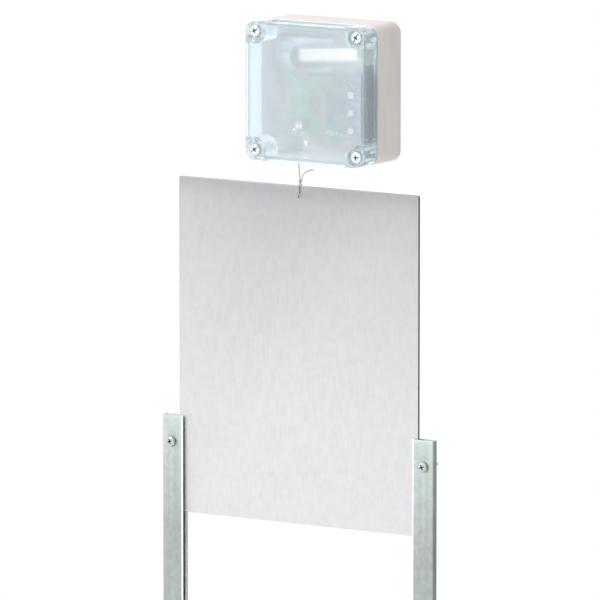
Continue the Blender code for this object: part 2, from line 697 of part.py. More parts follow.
def build_batteries(looks, parent):
    """The holder, open towards the box's middle, with its cells and their springs."""
    bm = bmesh.new()
    block(bm, (HOLDER_LEFT, HOLDER_RIGHT), (HOLDER_BACK, HOLDER_FRONT), (HOLDER_BOTTOM, HOLDER_TOP))
    hollow = bmesh.new()
    inside_y = (HOLDER_BACK - HOLDER_WALL, HOLDER_FRONT + HOLDER_WALL)
    inside_z = (HOLDER_BOTTOM + HOLDER_WALL, HOLDER_TOP - HOLDER_WALL)
    block(hollow, (HOLDER_LEFT - MM, HOLDER_RIGHT - HOLDER_WALL), inside_y, inside_z)
    mesh = carved(mesh_of("battery_holder", bm), hollow)
    slots = bmesh.new()
    right = (HOLDER_RIGHT - 1.5 * HOLDER_WALL, HOLDER_RIGHT + MM)
    block(slots, right, (-43.8 * MM, -46.2 * MM), (-22 * MM, -9.5 * MM))
    below = (HOLDER_BOTTOM - MM, HOLDER_BOTTOM + 1.5 * HOLDER_WALL)
    block(slots, (83.3 * MM, 85.7 * MM), (-18.8 * MM, -21.2 * MM), below)
    from_world("battery_holder", carved(mesh, slots), looks["holder"], parent)

    nub_r, nub_h, rim = 2.7 * MM, 0.9 * MM, 0.5 * MM
    for number, y in enumerate(cell_places(), 1):
        cell = bmesh.new()
        lathe(cell, (0, 0, 0), [
            (0, 0),
            (CELL_R - rim, 0),
            (CELL_R, rim),
            (CELL_R, CELL_LENGTH - rim),
            (CELL_R - rim, CELL_LENGTH),
            (nub_r, CELL_LENGTH),
            (nub_r, CELL_LENGTH + nub_h),
            (0, CELL_LENGTH + nub_h),
        ], "Z", 20)
        name = f"battery_cell_{number}"
        piece(name, mesh_of(name, cell), looks["cell"], parent, (CELL_X, y, CELL_BOTTOM))
        low = HOLDER_BOTTOM + HOLDER_WALL + 0.8 * MM
        high = CELL_BOTTOM - 0.8 * MM
        turns, per_turn = 3, 9
        route = []
        for i in range(turns * per_turn + 1):
            share = i / (turns * per_turn)
            angle = 2 * math.pi * i / per_turn
            radius = (5 - 2.2 * share) * MM
            x, dy = radius * math.cos(angle), radius * math.sin(angle)
            route.append(Vector((CELL_X + x, y + dy, low + (high - low) * share)))
        cord(f"battery_spring_{number}", route, 0.8 * MM, looks["spring"], parent, resolution=1)


def button_heights():
    """The heights of the three buttons, from the top one down."""
    return [BUTTON_TOP_Z - i * BUTTON_PITCH for i in range(3)]


def build_control_strip(looks, parent):
    """The narrow board with three switch bodies and an indicator."""
    bm = bmesh.new()
    block(bm, (STRIP_LEFT, STRIP_RIGHT), (STRIP_BACK, STRIP_FRONT), (STRIP_BOTTOM, STRIP_TOP))
    switches = bmesh.new()
    for z in button_heights():
        sides = (BUTTON_X - SWITCH_HALF, BUTTON_X + SWITCH_HALF)
        depth = (STRIP_FRONT + 0.5 * MM, STRIP_FRONT - SWITCH_HEIGHT)
        block(switches, sides, depth, (z - SWITCH_HALF, z + SWITCH_HALF))
    mesh = joined(mesh_of("control_strip", bm), switches)
    wells = bmesh.new()
    for z in button_heights():
        floor = BUTTON_BASE + 0.8 * MM
        cylinder(wells, (BUTTON_X, 0, z), BUTTON_R + GAP - 0.1 * MM, floor, STRIP_FRONT - 3 * MM, segments=24)
    from_world("control_strip", carved(mesh, wells), looks["strip"], parent)
    led = bmesh.new()
    radius, rim = 1.3 * MM, 0.4 * MM
    profile = [(0, 0), (radius, 0), (radius, rim - MM), (radius - rim, -MM), (0, -MM)]
    lathe(led, (0, 0, 0), profile, segments=16)
    at = (BUTTON_X, STRIP_FRONT - GAP, LED_Z)
    piece("status_led", mesh_of("status_led", led), looks["led"], parent, at)


def build_button(number, height, look, parent):
    """A round push button, its origin on the line it travels along."""
    bm = bmesh.new()
    front, rim = BUTTON_FRONT - BUTTON_BASE, 0.4 * MM
    lathe(bm, (0, 0, 0), [
        (0, 0),
        (BUTTON_R, 0),
        (BUTTON_R, front + rim),
        (BUTTON_R - rim, front),
        (0, front),
    ], segments=24)
    name = f"button_{number}"
    piece(name, mesh_of(name, bm), look, parent, (BUTTON_X, BUTTON_BASE, height))


def build_leads(looks, parent):
    """The battery leads and the motor leads, all ending in the terminal block."""
    into = [
        [(TERMINAL_FIRST_X + i * TERMINAL_PITCH) / MM, WIRE_Y / MM, TERMINAL_BOTTOM / MM + 1.7]
        for i in range(4)
    ]
    routes = {
        "battery_lead_red": (looks["red"], [
            (97.0, -45, -12), (97.6, -45, -15.5), (98.45, -45, -20.5), (98.5, -45, -36),
            (96.9, -45.4, -39.2), (92, -46, -40), (84, -46.4, -42.4), (74, -45, -46.5),
            (67.5, -38, -50), (63, -30.5, -51), (61.8, -27.4, -47.6), into[3],
        ]),
        "battery_lead_black": (looks["black"], [
            (84.5, -20, -36.3), (84.5, -20, -39.5), (80.5, -21, -45), (70, -24.5, -50.4),
            (60, -26.6, -51), (56.8, -27, -47.2), into[2],
        ]),
        "motor_lead_red": (looks["red"], [
            (33.5, -49.4, 30), (33.6, -52.2, 28.2), (35, -52.6, 22.5), (38.5, -47, 14),
            (41, -38, 4), (41.6, -32, -10), (41, -30.4, -28), (41.3, -29, -40),
            (43.2, -27.6, -45.8), (46, -27.1, -46), (46.8, -27, -43.2), into[0],
        ]),
        "motor_lead_black": (looks["black"], [
            (27.9, -49.4, 30), (28.0, -52.2, 28.2), (29.5, -52.6, 22.5), (33.5, -47, 14),
            (37, -38, 4), (38.4, -32, -10), (38.2, -30.4, -28), (38.8, -29, -42),
            (42.6, -27.8, -49.6), (49.6, -27.2, -50.2), (51.8, -27, -46.6), into[1],
        ]),
    }
    for name, (look, route) in routes.items():
        cord(name, smooth_route(route, 3.4 * MM), LEAD_D, look, parent)


def build_lift_cord(looks, housing, door):
    """The cord from the drum down to the door, its loop through the door, its knot and tail."""
    drop_x, drop_y = CORD_X / MM, CORD_Y / MM
    leaves = SPOOL_Z / MM - 6
    inside = [(drop_x, drop_y, leaves), (drop_x, drop_y, 0), (drop_x, drop_y, EYELET_BOTTOM / MM)]
    cord("lift_cord_inner", smooth_route(inside, 12 * MM), CORD_D, looks["cord"], housing)

    middle = DOOR_MIDDLE / MM
    knot_top = (KNOT_Z + KNOT_R + GAP) / MM
    start = EYELET_BOTTOM / MM - 0.3
    half_way = (start + knot_top) / 2
    drop = [(drop_x, drop_y, start), (drop_x, (drop_y + middle) / 2, half_way), (drop_x, middle, knot_top)]
    cord("lift_cord", smooth_route(drop, 4 * MM), CORD_D, looks["cord"], housing)

    knot = bmesh.new()
    profile = []
    rings = 6
    for i in range(rings + 1):
        angle = math.pi * i / rings
        profile.append((0.9 * KNOT_R * math.sin(angle) if 0 < i < rings else 0, KNOT_R * math.cos(angle)))
    lathe(knot, (0, 0, 0), profile, "Z", 12)
    piece("cord_knot", mesh_of("cord_knot", knot), looks["cord"], door, (CORD_X, DOOR_MIDDLE, KNOT_Z))

    bend_r = 2.2
    low = HOLE_Z / MM + 2.0
    under = (KNOT_Z - KNOT_R - GAP) / MM
    loop = [(drop_x, middle - 0.75, under - 0.1), (drop_x, middle - 1.8, under - 1.5)]
    loop += [(drop_x, middle - bend_r, under - 3.6)]
    loop += [(drop_x, middle + y, z) for y, z in arc((0, low), bend_r, 180, 360, 8)]
    loop += [(drop_x, middle + bend_r, under - 3.6)]
    loop += [(drop_x, middle + 1.8, under - 1.5), (drop_x, middle + 0.75, under - 0.1)]
    cord("cord_loop", smooth_route(loop, 1.2 * MM), CORD_D, looks["cord"], door)

    side = drop_x + KNOT_R / MM + 0.55
    tail = [
        (side, middle - 0.4, -85.1), (side + 0.5, middle - 0.7, -82.2), (5.4, middle - 1.1, -79.1),
        (7.9, middle - 1.4, -76.7), (11.6, middle - 1.7, -74.9), (16.4, middle - 1.9, -73.7),
    ]
    cord("cord_tail", smooth_route(tail, 2 * MM), CORD_D, looks["cord"], door)


def build_door(look, parent):
    """The flat sheet door with the cord's hole near its top edge."""
    bm = bmesh.new()
    block(bm, (-DOOR_HALF, DOOR_HALF), (DOOR_BACK, DOOR_FRONT), (DOOR_BOTTOM, DOOR_TOP))
    hole = bmesh.new()
    cylinder(hole, (CORD_X, 0, HOLE_Z), HOLE_R, DOOR_BACK + MM, DOOR_FRONT - MM, segments=20)
    from_world("door_panel", carved(mesh_of("door_panel", bm), hole), look, parent)


def build_rail(side, looks, parent):
    """A U-section rail, open towards the door, with a screw near each end."""
    word = "left" if side < 0 else "right"
    inner, outer, sheet = side * RAIL_INNER, side * RAIL_OUTER, RAIL_SHEET
    web = outer - side * sheet
    outline = [
        (outer, 0), (outer, RAIL_FRONT), (inner, RAIL_FRONT), (inner, RAIL_FRONT + sheet),
        (web, RAIL_FRONT + sheet), (web, -sheet), (inner, -sheet), (inner, 0),
    ]
    bm = bmesh.new()
    prism(bm, outline, RAIL_BOTTOM, RAIL_TOP, axis="Z")
    heights = (RAIL_TOP - RAIL_SCREW_INSET, RAIL_BOTTOM + RAIL_SCREW_INSET)
    holes = bmesh.new()
    for z in heights:
        cylinder(holes, (side * RAIL_SCREW_X, 0, z), RAIL_HOLE_R, MM, RAIL_FRONT - MM, segments=16)
    name = f"guide_rail_{word}"
    from_world(name, carved(mesh_of(name, bm), holes), looks["rail"], parent)
    for end, z, turn in zip(("top", "bottom"), heights, (20, 65)):
        name = f"rail_screw_{word}_{end}"
        mesh = screw_mesh(name, 4.5 * MM, 3 * MM, 2.1 * MM, 23.5 * MM, 2.1 * MM, turn)
        piece(name, mesh, looks["screw"], parent, (side * RAIL_SCREW_X, RAIL_FRONT - GAP, z))


def make_looks():
    """The materials, by what they are used on."""
    return {
        "housing": material("housing_plastic", (0.62, 0.6, 0.58), 0.45),
        "lid": material("clear_plastic", (0.8, 0.9, 0.92), 0.08, alpha=0.35),
        "rubber": material("seal_rubber", (0.1, 0.1, 0.1), 0.8),
        "screw": material("zinc_screw", (0.75, 0.76, 0.77), 0.3, 1.0),
        "board": material("circuit_board", (0.12, 0.36, 0.24), 0.4),
        "chip": material("chip_plastic", (0.03, 0.03, 0.03), 0.5),
        "relay": material("relay_plastic", (0.08, 0.09, 0.1), 0.4),
        "capacitor": material("capacitor_sleeve", (0.1, 0.12, 0.3), 0.35),
        "sensor": material("sensor_window", (0.6, 0.35, 0.2), 0.3),
        "terminal": material("terminal_plastic", (0.15, 0.35, 0.2), 0.5),
        "steel": material("plated_steel", (0.6, 0.6, 0.6), 0.35, 1.0),
        "motor": material("motor_steel", (0.45, 0.46, 0.48), 0.3, 1.0),
        "spool": material("spool_plastic", (0.85, 0.85, 0.83), 0.45),
        "gear": material("gear_nylon", (0.88, 0.86, 0.8), 0.5),
        "cord": material("braided_cord", (0.7, 0.7, 0.68), 0.8),
        "holder": material("holder_plastic", (0.05, 0.05, 0.055), 0.5),
        "cell": material("cell_sleeve", (0.2, 0.22, 0.25), 0.3, 0.5),
        "spring": material("spring_nickel", (0.7, 0.7, 0.68), 0.25, 1.0),
        "strip": material("strip_board", (0.5, 0.5, 0.58), 0.5),
        "led": material("led_lens", (0.75, 0.75, 0.8), 0.2),
        "button": material("button_cream", (0.85, 0.8, 0.66), 0.4),
        "red": material("lead_red", (0.7, 0.06, 0.07), 0.4),
        "black": material("lead_black", (0.03, 0.03, 0.03), 0.45),
        "door": material("door_aluminium", (0.72, 0.73, 0.74), 0.4, 1.0),
        "rail": material("rail_zinc", (0.66, 0.7, 0.68), 0.45, 1.0),
    }


def main():
    for old in list(bpy.data.objects):
        bpy.data.objects.remove(old)
    looks = make_looks()
    housing = body("housing", (0, 0, 0))
    lid = body("lid_body", (BOX_X, LID_BACK, 0))
    spool = body("spool", (SPOOL_X, SPOOL_BACK, SPOOL_Z))
    pinion = body("pinion", (PINION_X, GEAR_BACK, SPOOL_Z))
    door = body("door", (0, DOOR_MIDDLE, DOOR_TOP))

    build_base(looks["housing"], housing)
    build_eyelet(looks["rubber"], housing)
    build_main_board(looks, housing)
    build_winch_frame(looks, housing)
    build_batteries(looks, housing)
    build_control_strip(looks, housing)
    build_leads(looks, housing)
    build_lid(looks["lid"], lid)
    build_lid_parts(looks, lid)
    build_spool(looks, spool)
    build_pinion(looks, pinion)
    for number, height in enumerate(button_heights(), 1):
        travel_line = body(f"button_{number}_line", (BUTTON_X, BUTTON_BASE, height))
        build_button(number, height, looks["button"], travel_line)
    build_lift_cord(looks, housing, door)
    build_door(looks["door"], door)
    for side in (-1, 1):
        build_rail(side, looks, housing)


main()
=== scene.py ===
import math

import bmesh
import bpy
from mathutils import Matrix, Vector


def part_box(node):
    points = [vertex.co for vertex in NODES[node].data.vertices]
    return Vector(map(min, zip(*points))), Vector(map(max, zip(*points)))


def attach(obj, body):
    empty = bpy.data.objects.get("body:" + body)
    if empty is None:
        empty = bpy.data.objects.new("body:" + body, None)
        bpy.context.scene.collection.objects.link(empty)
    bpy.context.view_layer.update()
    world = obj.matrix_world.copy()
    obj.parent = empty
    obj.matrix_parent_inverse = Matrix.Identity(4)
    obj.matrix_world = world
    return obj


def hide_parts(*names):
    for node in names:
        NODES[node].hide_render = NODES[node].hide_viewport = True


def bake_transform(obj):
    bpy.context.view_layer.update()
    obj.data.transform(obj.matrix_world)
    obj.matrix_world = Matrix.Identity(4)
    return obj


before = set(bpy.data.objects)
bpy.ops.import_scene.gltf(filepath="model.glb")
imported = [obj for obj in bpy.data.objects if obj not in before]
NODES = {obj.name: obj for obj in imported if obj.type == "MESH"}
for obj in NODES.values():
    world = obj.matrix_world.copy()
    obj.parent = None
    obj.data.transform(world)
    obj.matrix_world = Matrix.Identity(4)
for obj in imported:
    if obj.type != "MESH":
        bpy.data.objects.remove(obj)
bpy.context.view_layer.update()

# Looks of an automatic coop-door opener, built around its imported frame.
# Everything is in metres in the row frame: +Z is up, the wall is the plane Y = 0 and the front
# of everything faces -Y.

MM = 0.001
GAP = 0.3 * MM

# Control box, from the frame
BASE_LOW, BASE_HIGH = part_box("housing_base")
LID_LOW, LID_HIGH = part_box("lid")
BOX_X = (BASE_LOW.x + BASE_HIGH.x) / 2
BOX_HALF = (BASE_HIGH.x - BASE_LOW.x) / 2
BASE_FRONT = BASE_LOW.y
LID_BACK, LID_FRONT = LID_HIGH.y, LID_LOW.y
CORNER_R = 10 * MM
BASE_WALL = 3.2 * MM
BASE_POST_R = 7 * MM
LID_FLANGE = 4 * MM
LID_STEP = 1.5 * MM
LID_RIM = 2.8 * MM
WELL_DEPTH, WELL_GAP = 0.3 * MM, 0.15 * MM
LID_WALL = 2.5 * MM
LID_POST_R = 11.3 * MM
TOWER = 20 * MM
POCKET_R = 7.4 * MM
POCKET_DEPTH = 3.5 * MM
LID_SCREW_X, LID_SCREW_Z = 52.3 * MM, 52 * MM
LID_SCREW_HOLE_R = 2.1 * MM
SEAL_WIDTH, SEAL_DEPTH = 1.4 * MM, 1.3 * MM
WALL_HOLE_X, WALL_HOLE_Z = 36 * MM, 51 * MM
WALL_HOLE_R = 2.25 * MM

# Winch
CORD_D = 1.1 * MM
CORD_X, CORD_Y = 1.5 * MM, -7 * MM
SPOOL_LOW, SPOOL_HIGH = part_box("cord_spool")
SPOOL_X = (SPOOL_LOW.x + SPOOL_HIGH.x) / 2
SPOOL_Z = (SPOOL_LOW.z + SPOOL_HIGH.z) / 2
SPOOL_BACK, SPOOL_FRONT = SPOOL_HIGH.y, SPOOL_LOW.y
SPOOL_R = (SPOOL_HIGH.z - SPOOL_LOW.z) / 2
DRUM_R = 9.45 * MM
AXLE_R = 2 * MM
MODULE = 0.8 * MM
SPOOL_TEETH, PINION_TEETH = 36, 12
PINION_X = SPOOL_X + MODULE * (SPOOL_TEETH + PINION_TEETH) / 2
SHAFT_R = 1.5 * MM

# Door and rails
DOOR_LOW, DOOR_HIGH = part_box("door_panel")
DOOR_MIDDLE = (DOOR_LOW.y + DOOR_HIGH.y) / 2
HOLE_Z = -98 * MM
HOLE_R = 1.5 * MM
RAIL_SHEET = 1.5 * MM
RAIL_HOLE_R = 2.5 * MM


# ---- Meshes ----

def arc(centre, radius, first, last, steps):
    """Points of an arc, in degrees, with both ends."""
    points = []
    for i in range(steps + 1):
        angle = math.radians(first + (last - first) * i / steps)
        points.append((centre[0] + radius * math.cos(angle), centre[1] + radius * math.sin(angle)))
    return points


def mirrored_corners(corner):
    """Repeats the points of the box's upper right corner at its four corners, in order."""
    flipped = corner[::-1]
    quarters = [
        [(x, z) for x, z in corner],
        [(-x, z) for x, z in flipped],
        [(-x, -z) for x, z in corner],
        [(x, -z) for x, z in flipped],
    ]
    return [(BOX_X + x, z) for quarter in quarters for x, z in quarter]


def rounded_square(half, radius, steps=10):
    """The box's outline: a square with round corners."""
    middle = half - radius
    return mirrored_corners(arc((middle, middle), radius, 0, 90, steps))


def square_with_posts(half, radius, steps=12):
    """A hollow's outline: a square whose corners bulge inwards around the lid screws."""
    across, up = half - LID_SCREW_X, half - LID_SCREW_Z
    first = math.degrees(-math.acos(across / radius))
    last = -180 - math.degrees(math.asin(up / radius))
    return mirrored_corners(arc((LID_SCREW_X, LID_SCREW_Z), radius, first, last, steps))


def screw_places():
    """The four lid screws, as (x, z)."""
    places = []
    for side_z in (1, -1):
        for side_x in (-1, 1):
            places.append((BOX_X + side_x * LID_SCREW_X, side_z * LID_SCREW_Z))
    return places


def node_centre(node):
    """The middle of a CAD node's box."""
    low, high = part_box(node)
    return tuple((a + b) / 2 for a, b in zip(low, high))


def around(middle, reach):
    """Limits at equal distances on both sides of a middle."""
    return (middle - reach, middle + reach)


def skin(bm, pairs):
    """Faces between pairs of rings with as many vertices."""
    for a, b in pairs:
        for i in range(len(a)):
            j = (i + 1) % len(a)
            bm.faces.new((a[i], a[j], b[j], b[i]))
    return bm


def lathe(bm, centre, profile, axis="Y", segments=48, bored=False):
    """A turned body from (radius, distance along the axis) points; a bored one closes on itself."""
    rings = []
    for radius, along in profile:
        ring = []
        for i in range(segments if radius > 0 else 1):
            angle = 2 * math.pi * i / segments
            u, v = radius * math.cos(angle), radius * math.sin(angle)
            offset = {"X": (along, u, v), "Y": (u, along, v), "Z": (u, v, along)}[axis]
            ring.append(bm.verts.new(Vector(centre) + Vector(offset)))
        rings.append(ring)
    pairs = list(zip(rings, rings[1:]))
    if bored:
        pairs.append((rings[-1], rings[0]))
    for a, b in pairs:
        for i in range(segments):
            j = (i + 1) % segments
            if len(a) == len(b) == 1:
                break
            if len(a) == 1:
                bm.faces.new((a[0], b[j], b[i]))
            elif len(b) == 1:
                bm.faces.new((a[i], a[j], b[0]))
            else:
                bm.faces.new((a[i], a[j], b[j], b[i]))
    return bm


def cylinder(bm, centre, radius, start, end, axis="Y", segments=48):
    """A round bar between two distances along its axis from the centre."""
    return lathe(bm, centre, [(0, start), (radius, start), (radius, end), (0, end)], axis, segments)


def prism(bm, outline, start, end, axis="Y"):
    """An outline drawn square to the axis and extruded along it."""

    def point(u, v, t):
        return {"X": (t, u, v), "Y": (u, t, v), "Z": (u, v, t)}[axis]

    near = [bm.verts.new(point(u, v, start)) for u, v in outline]
    far = [bm.verts.new(point(u, v, end)) for u, v in outline]
    bm.faces.new(near)
    bm.faces.new(far)
    return skin(bm, [(near, far)])


def block(bm, x, y, z):
    """A rectangular block between pairs of limits."""
    return prism(bm, [(x[0], z[0]), (x[1], z[0]), (x[1], z[1]), (x[0], z[1])], y[0], y[1])


def soft_block(bm, x, y, z, rim):
    """A block whose front edges, towards -Y, are chamfered by the rim."""
    back, front = max(y), min(y)
    rings = []
    for inset, depth in ((0, back), (0, front + rim), (rim, front)):
        corners = [(x[0] + inset, z[0] + inset), (x[1] - inset, z[0] + inset),
                   (x[1] - inset, z[1] - inset), (x[0] + inset, z[1] - inset)]
        rings.append([bm.verts.new((u, depth, v)) for u, v in corners])
    skin(bm, zip(rings, rings[1:]))
    bm.faces.new(rings[0])
    bm.faces.new(rings[-1])
    return bm


def ring_body(bm, outer, inner, back, front):
    """A ring between two outlines with as many points, from its back to its front."""
    rings = []
    for outline, y in ((outer, back), (outer, front), (inner, front), (inner, back)):
        rings.append([bm.verts.new((x, y, z)) for x, z in outline])
    return skin(bm, zip(rings, rings[1:] + rings[:1]))


def shaded(mesh, sharp):
    """The mesh shaded smooth, apart from edges sharper than an angle in degrees."""
    mesh.shade_smooth()
    mesh.set_sharp_from_angle(angle=math.radians(sharp))
    return mesh


def mesh_of(name, bm, sharp=35):
    """A mesh with its faces pointing out, smooth apart from its sharp edges."""
    bmesh.ops.recalc_face_normals(bm, faces=bm.faces)
    mesh = bpy.data.meshes.new(name)
    bm.to_mesh(mesh)
    bm.free()
    return shaded(mesh, sharp)


def evaluated(mesh, kind, others=(), **settings):
    """The mesh after one modifier, applied."""
    holder = bpy.data.objects.new("holder", mesh)
    bpy.context.scene.collection.objects.link(holder)
    modifier = holder.modifiers.new("work", kind)
    for key, value in settings.items():
        setattr(modifier, key, value)
    graph = bpy.context.evaluated_depsgraph_get()
    result = bpy.data.meshes.new_from_object(holder.evaluated_get(graph))
    for helper in (holder, *others):
        bpy.data.objects.remove(helper)
    return result


def carved(mesh, cutter, **settings):
    """The mesh with the cutter's volume taken out."""
    tool = bpy.data.objects.new("tool", mesh_of("tool", cutter))
    bpy.context.scene.collection.objects.link(tool)
    return evaluated(mesh, "BOOLEAN", (tool,), operation="DIFFERENCE", object=tool, **settings)


def rounded(mesh, width, segments=2, limit=40):
    """The mesh with its sharp edges rounded off."""
    made = evaluated(
        mesh, "BEVEL", width=width, segments=segments, limit_method="ANGLE",
        angle_limit=math.radians(limit), use_clamp_overlap=True, miter_outer="MITER_ARC",
    )
    return shaded(made, 50)


def welded(node):
    """A CAD node's mesh, with its triangles joined back into flat faces."""
    bm = bmesh.new()
    bm.from_mesh(NODES[node].data)
    bmesh.ops.remove_doubles(bm, verts=bm.verts, dist=0.001 * MM)
    bmesh.ops.dissolve_limit(bm, angle_limit=math.radians(1), verts=bm.verts, edges=bm.edges)
    return mesh_of(node, bm)


def smooth_route(points, spacing):
    """A Catmull-Rom curve through points given in millimetres, read at even steps in metres."""
    knots = [Vector(p) * MM for p in points]
    knots = [2 * knots[0] - knots[1]] + knots + [2 * knots[-1] - knots[-2]]
    line, fine = [], 24
    for a, b, c, d in zip(knots, knots[1:], knots[2:], knots[3:]):
        for i in range(fine):
            t = i / fine
            bend = 2 * a - 5 * b + 4 * c - d
            twist = 3 * b - a - 3 * c + d
            line.append((2 * b + (c - a) * t + bend * t * t + twist * t * t * t) / 2)
    line.append(knots[-2])
    total = sum((q - p).length for p, q in zip(line, line[1:]))
    steps = max(2, round(total / spacing))
    even, run, wanted = [line[0]], 0.0, total / steps
    for p, q in zip(line, line[1:]):
        run += (q - p).length
        if run >= wanted * len(even) and len(even) < steps:
            even.append(q)
    return even + [line[-1]]


def tube(bm, path, radius, sides=12, strands=0, lay=0.0, relief=0.0):
    """A round tube along a path. With strands, its surface is twisted like a laid or braided cord."""
    across = None
    rings, run = [], 0.0
    for i, point in enumerate(path):
        ahead = path[min(i + 1, len(path) - 1)] - path[max(i - 1, 0)]
        ahead = ahead.normalized()
        if across is None:
            across = ahead.orthogonal()
        across = (across - ahead * across.dot(ahead)).normalized()
        up = ahead.cross(across)
        if i:
            run += (point - path[i - 1]).length
        ring = []
        for k in range(sides):
            angle = 2 * math.pi * k / sides
            size = radius
            if strands:
                turn = 2 * math.pi * run / lay
                weave = math.cos(strands * angle + turn) * math.cos(strands * angle - turn)
                size = radius * (1 - relief / 2 + relief / 2 * weave)
            ring.append(bm.verts.new(point + (across * math.cos(angle) + up * math.sin(angle)) * size))
        rings.append(ring)
    skin(bm, zip(rings, rings[1:]))
    bm.faces.new(rings[0][::-1])
    bm.faces.new(rings[-1])
    return bm


def add(name, shape, finish, nodes=(), body="housing"):
    """A piece that rides on a body and stands for CAD nodes; with two finishes, the mesh's face
    indices choose between them."""
    mesh = mesh_of(name, shape) if isinstance(shape, bmesh.types.BMesh) else shape
    finishes = (finish,) if isinstance(finish, str) else finish
    made = bpy.data.objects.new(name, mesh)
    bpy.context.scene.collection.objects.link(made)
    indices = [face.material_index for face in mesh.polygons]
    mesh.materials.clear()
    for key in finishes:
        mesh.materials.append(LOOKS[key])
    if len(finishes) > 1:
        mesh.polygons.foreach_set("material_index", indices)
    if body:
        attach(made, body)
    if nodes:
        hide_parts(*((nodes,) if isinstance(nodes, str) else nodes))
    return made


# ---- Materials ----

def linear(hex_colour):
    """A colour such as "c4beb8", as linear RGBA."""
    values = []
    for i in (0, 2, 4):
        c = int(hex_colour[i:i + 2], 16) / 255
        values.append(c / 12.92 if c <= 0.04045 else ((c + 0.055) / 1.055) ** 2.4)
    return (*values, 1.0)


def feed(tree, socket, value):
    """A link, or a plain value, on a socket."""
    if isinstance(value, bpy.types.NodeSocket):
        tree.links.new(value, socket)
    else:
        socket.default_value = value


def wired(tree, kind, settings=None, **inputs):
    """A node with plain values and links on its sockets, by name or, as i0, by number."""
    made = tree.nodes.new(kind)
    for key, value in (settings or {}).items():
        setattr(made, key, value)
    for key, value in inputs.items():
        numbered = key[0] == "i" and key[1:].isdigit()
        feed(tree, made.inputs[int(key[1:]) if numbered else key.replace("_", " ")], value)
    return made


class Look:
    """A material under construction: a Principled shader and what feeds it."""

    def __init__(self, name, **sockets):
        self.material = bpy.data.materials.new(name)
        self.material.use_nodes = True
        self.tree = self.material.node_tree
        self.shader = self.tree.nodes["Principled BSDF"]
        self.out = self.tree.nodes["Material Output"]
        self.place = self.node("ShaderNodeTexCoord").outputs["Object"]
        for key, value in sockets.items():
            self.shader.inputs[key.replace("_", " ")].default_value = value

    def node(self, kind, settings=None, **inputs):
        return wired(self.tree, kind, settings, **inputs)

    def link(self, output, socket):
        self.tree.links.new(output, self.shader.inputs[socket])

    def stretched(self, scale, turn=(0, 0, 0)):
        """Object coordinates scaled, and turned, apart along each axis."""
        return self.node("ShaderNodeMapping", Vector=self.place, Scale=scale, Rotation=turn).outputs[0]

    def noise(self, size, detail=3.0, rough=0.55, at=None):
        """Noise with features of a size in metres."""
        made = self.node(
            "ShaderNodeTexNoise", Vector=at or self.place, Scale=1 / size, Detail=detail, Roughness=rough
        )
        return made.outputs["Fac"]

    def cells(self, size, output="Color", at=None):
        return self.node("ShaderNodeTexVoronoi", Vector=at or self.place, Scale=1 / size).outputs[output]

    def spread(self, value, low, high, start=0.3, end=0.7):
        """A value from start to end, spread over low to high."""
        made = self.node(
            "ShaderNodeMapRange", {"clamp": True}, Value=value,
            From_Min=start, From_Max=end, To_Min=low, To_Max=high,
        )
        return made.outputs["Result"]

    def mix(self, share, first, second, blend="MIX"):
        """Two colours mixed; a colour is a link or a hex string."""
        made = self.node("ShaderNodeMix", {"data_type": "RGBA", "blend_type": blend})
        for index, value in ((0, share), (6, first), (7, second)):
            feed(self.tree, made.inputs[index], linear(value) if isinstance(value, str) else value)
        return made.outputs[2]

    def maths(self, operation, *values):
        made = self.node("ShaderNodeMath", {"operation": operation})
        for index, value in enumerate(values):
            feed(self.tree, made.inputs[index], value)
        return made.outputs[0]

    def axis(self, name):
        return self.node("ShaderNodeSeparateXYZ", Vector=self.place).outputs[name]

    def relief(self, height, depth):
        """Bump from a height map, with a depth in metres."""
        made = self.node("ShaderNodeBump", Strength=1.0, Distance=depth, Height=height)
        self.link(made.outputs[0], "Normal")

    def drift(self, first, second, size):
        """Colour that drifts between two hex colours."""
        return self.mix(self.spread(self.noise(size), 0, 1), first, second)

    def gloss(self, low, high, size, detail=3.0):
        """Roughness that varies between two values."""
        self.link(self.spread(self.noise(size, detail), low, high), "Roughness")


def moulded(name, first, second, roughness, grain=0.45 * MM, depth=0.012 * MM):
    """Moulded plastic: a fine spark-eroded grain and a slow drift of colour and gloss."""
    look = Look(name)
    look.link(look.drift(first, second, 9 * MM), "Base Color")
    look.gloss(roughness - 0.05, roughness + 0.07, 3 * MM, 4)
    look.relief(look.noise(grain, 2), depth)
    return look.material


def turned_metal(name, first, second, roughness, size=1.6 * MM):
    """Plated steel: cloudy passivation, small pits and uneven gloss."""
    look = Look(name, Metallic=1.0)
    colour = look.drift(first, second, size)
    pits = look.spread(look.noise(0.35 * MM, 4), 0.0, 1.0, 0.3, 0.42)
    look.link(look.mix(pits, look.mix(0.35, colour, "55565a"), colour), "Base Color")
    look.gloss(roughness - 0.07, roughness + 0.12, 0.9 * MM, 5)
    look.relief(look.noise(0.5 * MM, 4), 0.008 * MM)
    return look.material


def housing_look():
    """Warm grey moulded box plastic, with a fine grain and faint flow marks."""
    look = Look("housing_plastic_look", Specular_IOR_Level=0.42)
    flow = look.noise(16 * MM, 3, at=look.stretched((1, 1, 0.35)))
    colour = look.mix(look.spread(flow, 0, 1, 0.35, 0.65), "d8d1cd", "dfd9d5")
    specks = look.spread(look.noise(0.7 * MM, 2), 0, 1, 0.28, 0.36)
    look.link(look.mix(specks, "d2cbc5", colour), "Base Color")
    look.gloss(0.42, 0.56, 5 * MM, 4)
    look.relief(look.noise(0.4 * MM, 2), 0.014 * MM)
    return look.material


